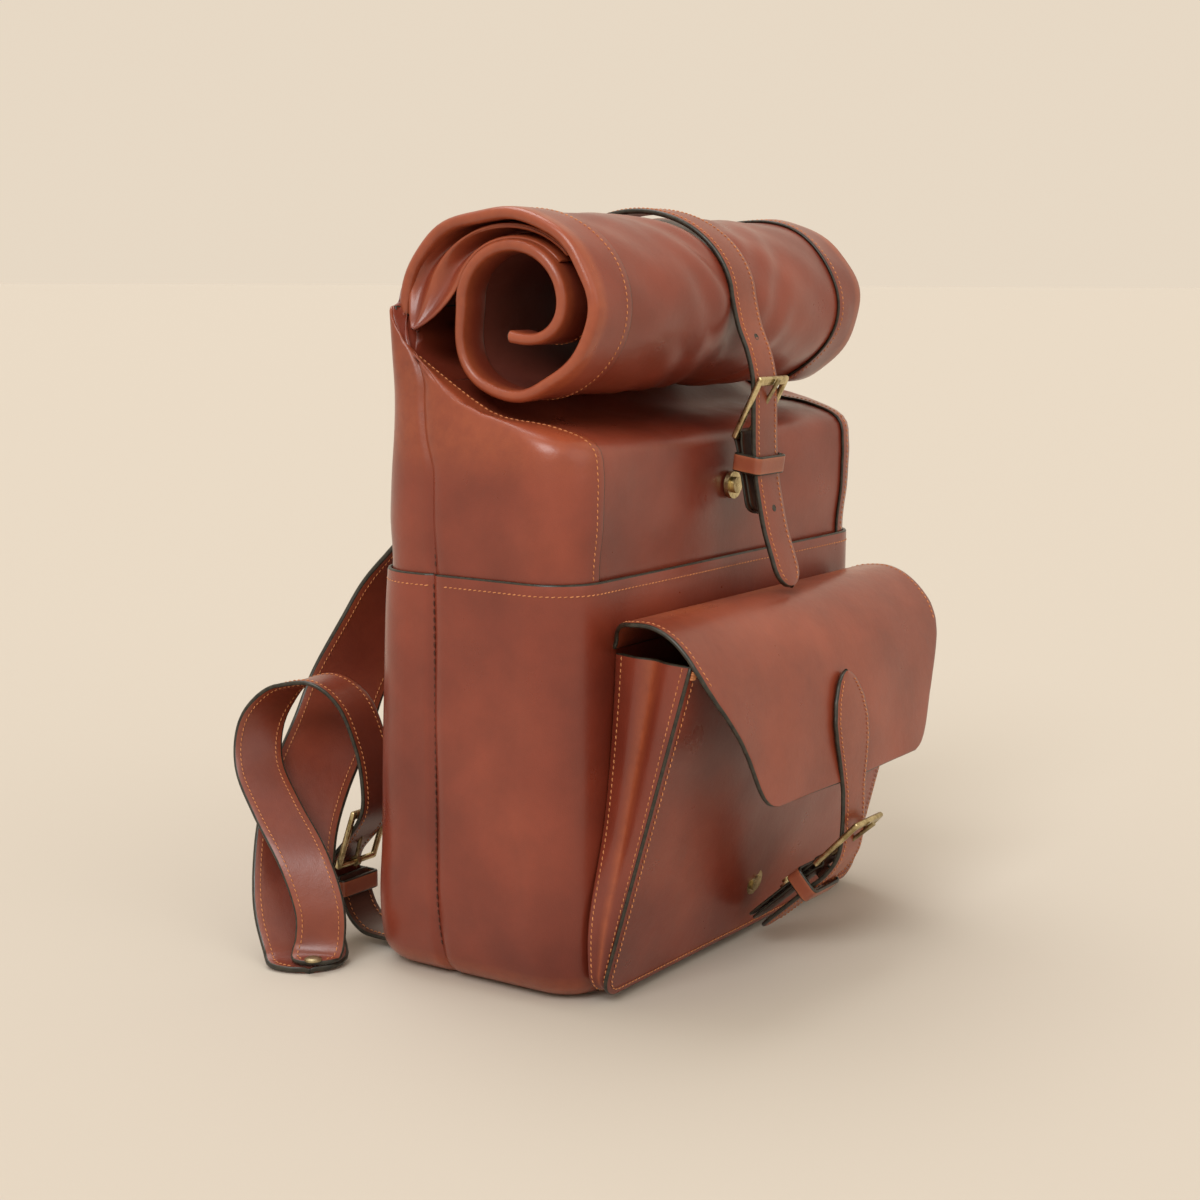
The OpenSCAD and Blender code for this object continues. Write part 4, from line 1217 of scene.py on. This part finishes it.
# %% Strap rows
# each row is X, Y and Z, and then the direction across the strap
WIDE = [[-43, 74.4, 283, 1, 0, 0], [-45, 92, 258, 1, -0.08, 0], [-54, 124, 214, 0.96, -0.26, 0],
        [-69, 136, 180, 0.9, -0.43, 0], [-86, 145, 146, 0.85, -0.52, 0], [-106, 143, 118, 0.82, -0.56, 0],
        [-131, 138, 92, 0.8, -0.58, 0], [-152.5, 130, 66, 0.79, -0.6, 0], [-170, 117, 32, 0.76, -0.64, 0],
        [-178, 102, 9, 0.7, -0.71, 0], [-186, 92, 2.9, 0.62, -0.78, 0], [-194, 84, 2.1, 0.58, -0.81, 0]]
ROOT_ROWS = [[-42, 60, 303, 1, 0, 0], [-42, 63, 296, 1, 0, 0], [-43, 72.4, 286.6, 1, 0, 0]]
NARROW = [[-192, 83, 5.4, 0.56, -0.83, 0], [-185, 87.5, 6.6, 0.56, -0.83, 0], [-179.5, 88.5, 15, 0.56, -0.83, 0],
          [-177, 91, 34, 0.57, -0.82, 0], [-174, 106, 60, 0.62, -0.78, 0], [-167, 132, 84, 0.7, -0.7, 0],
          [-158, 154, 106, 0.8, -0.55, 0.1], [-149, 159, 130, 0.86, -0.4, 0.1], [-141, 146, 150, 0.9, -0.3, 0.1],
          [-135, 124, 157, 1, 0, 0], [-128, 106, 145, 1, 0, 0], [-124, 96, 120, 1, 0, 0], [-124, 91, 98, 1, 0, 0],
          [-124, 92, 80, 1, 0, 0], [-124, 103.5, 63, 1, 0, 0], [-124, 116.4, 48, 1, 0, 0],
          [-124, 118.6, 34, 1, 0, 0], [-124, 115, 20, 1, 0, 0]]
TAB = [[-124, 111.5, 38, 1, 0, 0], [-124, 110, 30, 1, 0, 0], [-124, 104, 16, 1, 0, 0], [-124, 94, 8, 1, 0, 0],
       [-124, 82, 6.5, 1, 0, 0], [-124, 72, 6.5, 1, 0, 0]]


def mirrored(rows, sx):
    """The left strap's rows as they are, or turned over for the right strap."""
    return (np.array(rows, float) * ([-1, 1, 1, 1, -1, -1] if sx > 0 else 1)).tolist()


for side, sx in (("left", -1), ("right", 1)):
    body = f"{side}_strap"
    top_bend = ("body", body, (sx * 42, 60, 303), (sx * 43, 80, 276))
    # The shoulder and adjusting straps take the shoulder leather, whose darker colour is painted shade.
    strap(f"{side}_shoulder_leather", mirrored(ROOT_ROWS + WIDE, sx), 46, 3.2, body, tip=(0, 0.8), crown=0.9,
          bend=top_bend, stands_for=[f"{side}_shoulder_strap", f"{side}_strap_root"], both=True, step=4,
          mats=(shoulder_painted_shade_leather, paint), inset=3.6)
    strap(f"{side}_adjusting_leather", mirrored(NARROW, sx), 27, 2.6, body, tip=(0.7, 1), crown=0.3,
          stands_for=[f"{side}_adjusting_strap"], both=True, mats=(shoulder_painted_shade_leather, paint))
    # The base tab's leather is darkened as painted shade, for it lies in shadow at the foot of the bag.
    strap(f"{side}_base_tab_leather", mirrored(TAB, sx), 25, 2.4, body, face=-1, crown=0.1,
          bend=("body", body, (sx * 124, 78, 6.5), (sx * 124, 95, 9)), stands_for=[f"{side}_base_tab"],
          mats=(painted_shade_leather, paint))
print("shoulder straps done")

# %% [markdown]
# ## Back
# A yoke patch covers the ends of the shoulder straps, and a grab handle is sewn above it.

# %% Yoke and handle
YOKE_W, YOKE_Z, YOKE_H, YOKE_R = 150, 328, 48, 8
yoke = []
for z in np.linspace(YOKE_Z - YOKE_H / 2, YOKE_Z + YOKE_H / 2, 13):
    to_edge = YOKE_H / 2 - abs(z - YOKE_Z)
    corner = 1 - min(1, to_edge / YOKE_R)
    hw = YOKE_W / 2 - YOKE_R * (1 - math.sqrt(1 - corner ** 2))
    y = back_y(z) - LAP + 3.0
    yoke.append([[x, y + 0.4 * math.sin(x / 21) * to_edge / (YOKE_H / 2), z] for x in np.linspace(hw, -hw, 41)])
yoke = skin("back_yoke_leather", np.array(yoke), 2.2, [strap_leather, paint])
place(yoke, "body", stands_for=["back_yoke"])
sew_x, sew_z = YOKE_W / 2 - 4, YOKE_H / 2 - 4
loop = [(-sew_x, -sew_z), (-sew_x, sew_z), (sew_x, sew_z), (sew_x, -sew_z), (-sew_x, -sew_z)]
loop = even(np.array(loop, float) + [0, YOKE_Z], 2.0, 2)
path = np.array([[x, back_y(z) - LAP + 3.1, z] for x, z in loop])
place(stitches("back_yoke_stitches", path, np.tile([0, 1, 0.05], (len(path), 1))), "body")
HANDLE = [[-38, 57, 344, 1, 0, 0], [-38, 61, 334, 1, 0.1, 0], [-35, 67, 322, 0.9, 0, 0.4],
          [-22, 70, 312, 0.45, 0, 0.9], [0, 71, 308, 0, 0, 1], [22, 70, 312, -0.45, 0, 0.9],
          [35, 67, 322, -0.9, 0, 0.4], [38, 61, 334, -1, -0.1, 0], [38, 57, 344, -1, 0, 0]]
strap("grab_handle_leather", HANDLE, 14, 3, "handle", crown=0.8, tip=(0.6, 0.6), stands_for=["grab_handle"],
      inset=2.4)
print("back done")

# %% [markdown]
# ## Small parts and the inside
# The base, its board, the prongs, the snaps and the rivets keep the CAD's shapes, because those are
# right already. They take better finishes in their material slots.

# %% Finishes on the frame's own nodes
# The base panel takes the leather that is darkened as painted shade, for the underside of the bag.
FINISH = {"base_panel": painted_shade_leather, "base_stiffener": board}
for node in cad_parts:
    if "prong" in node or "snap" in node or "rivet" in node:
        FINISH[node] = antique_brass if "snap" in node else dark_brass
for node, finish in FINISH.items():
    for material_slot in bpy.data.objects[node].material_slots:
        material_slot.material = finish
print("finished nodes", len(FINISH))

# %% [markdown]
# The lining is a cotton bag that hangs a little inside the leather. Its walls are slack, so they
# swell and dip between the seams. The slip pocket is a flat patch of the same cloth on its front.
# The laptop sleeve is a quilted pad, full in its middle and thin at its seams.

# %% Lining


def lining_ring(z, inset, spread):
    """One level of the bag. A spread under 1 draws it in towards its middle, for the floor."""
    r = wall(max(z, 60), inset)
    hw, fy, by, cr = r[0] - 9, r[1], r[3], 22
    mid = np.array([0.0, (fy + by) / 2])
    outline = even(mid + round_box(hw, (by - fy) / 2, cr, 6), 6.5, 2)
    return np.column_stack([mid + (outline - mid) * spread, np.full(len(outline), z)])


rows = [(11.5, 0.02), (11.3, 0.35), (11.2, 0.7), (11.8, 0.93), (14.5, 0.985)]   # the floor of the bag
rows += [(z, 1.0) for z in np.arange(20, 285, 8.0)]
loops = [lining_ring(z, 9.5, k) for z, k in rows]
count = min(len(loop) for loop in loops)
grid = np.array([even(loop, arc_length(loop)[-1] / (count - 1))[:count] for loop in loops])
x, z = grid[..., 0], grid[..., 2]
slack = 1.6 * np.sin(x / 21 + z / 37) * np.sin(z / 29 + 1) * (z > 30)
away = unit(grid - [0, -5, 0])
away[..., 2] = 0
grid = grid - away * np.abs(slack)[..., None]
grid[:, -1] = grid[:, 0]
place(skin("lining_cloth_bag", grid, 0.8, [lining_cloth]), "body", stands_for=["lining"])
low, high = (np.array(v) * 1000 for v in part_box("slip_pocket"))
xs, zs = np.linspace(low[0], high[0], 31), np.linspace(low[2], high[2], 21)
patch = np.array([[[x, low[1] + 7.5 + 0.8 * math.sin(x / 23) * math.sin(z / 31), z] for x in xs] for z in zs])
place(skin("slip_pocket_cloth", patch, 1.0, [lining_cloth]), "body", stands_for=["slip_pocket"])
print("lining", grid.shape)

# %% Laptop sleeve
low, high = (np.array(v) * 1000 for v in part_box("laptop_sleeve"))
xs, zs = np.linspace(high[0] - 1, low[0] + 1, 41), np.linspace(low[2] + 1, high[2] - 1, 35)
grid = np.array([[[x, low[1] + 6, z] for x in xs] for z in zs])
puff = np.minimum(1, np.minimum(np.abs(grid[..., 0] - low[0]), np.abs(high[0] - grid[..., 0])) / 14)
puff = puff * np.minimum(1, np.minimum(grid[..., 2] - low[2], high[2] - grid[..., 2]) / 14)
quilt = 0.75 + 0.25 * np.abs(np.sin(grid[..., 2] / 26)) * np.abs(np.sin(grid[..., 0] / 26))
grid[..., 1] -= 4.5 * puff ** 0.5 * quilt
sleeve = skin("laptop_sleeve_pad", grid, 4.5, [lining_cloth])
place(sleeve, "body", stands_for=["laptop_sleeve"])
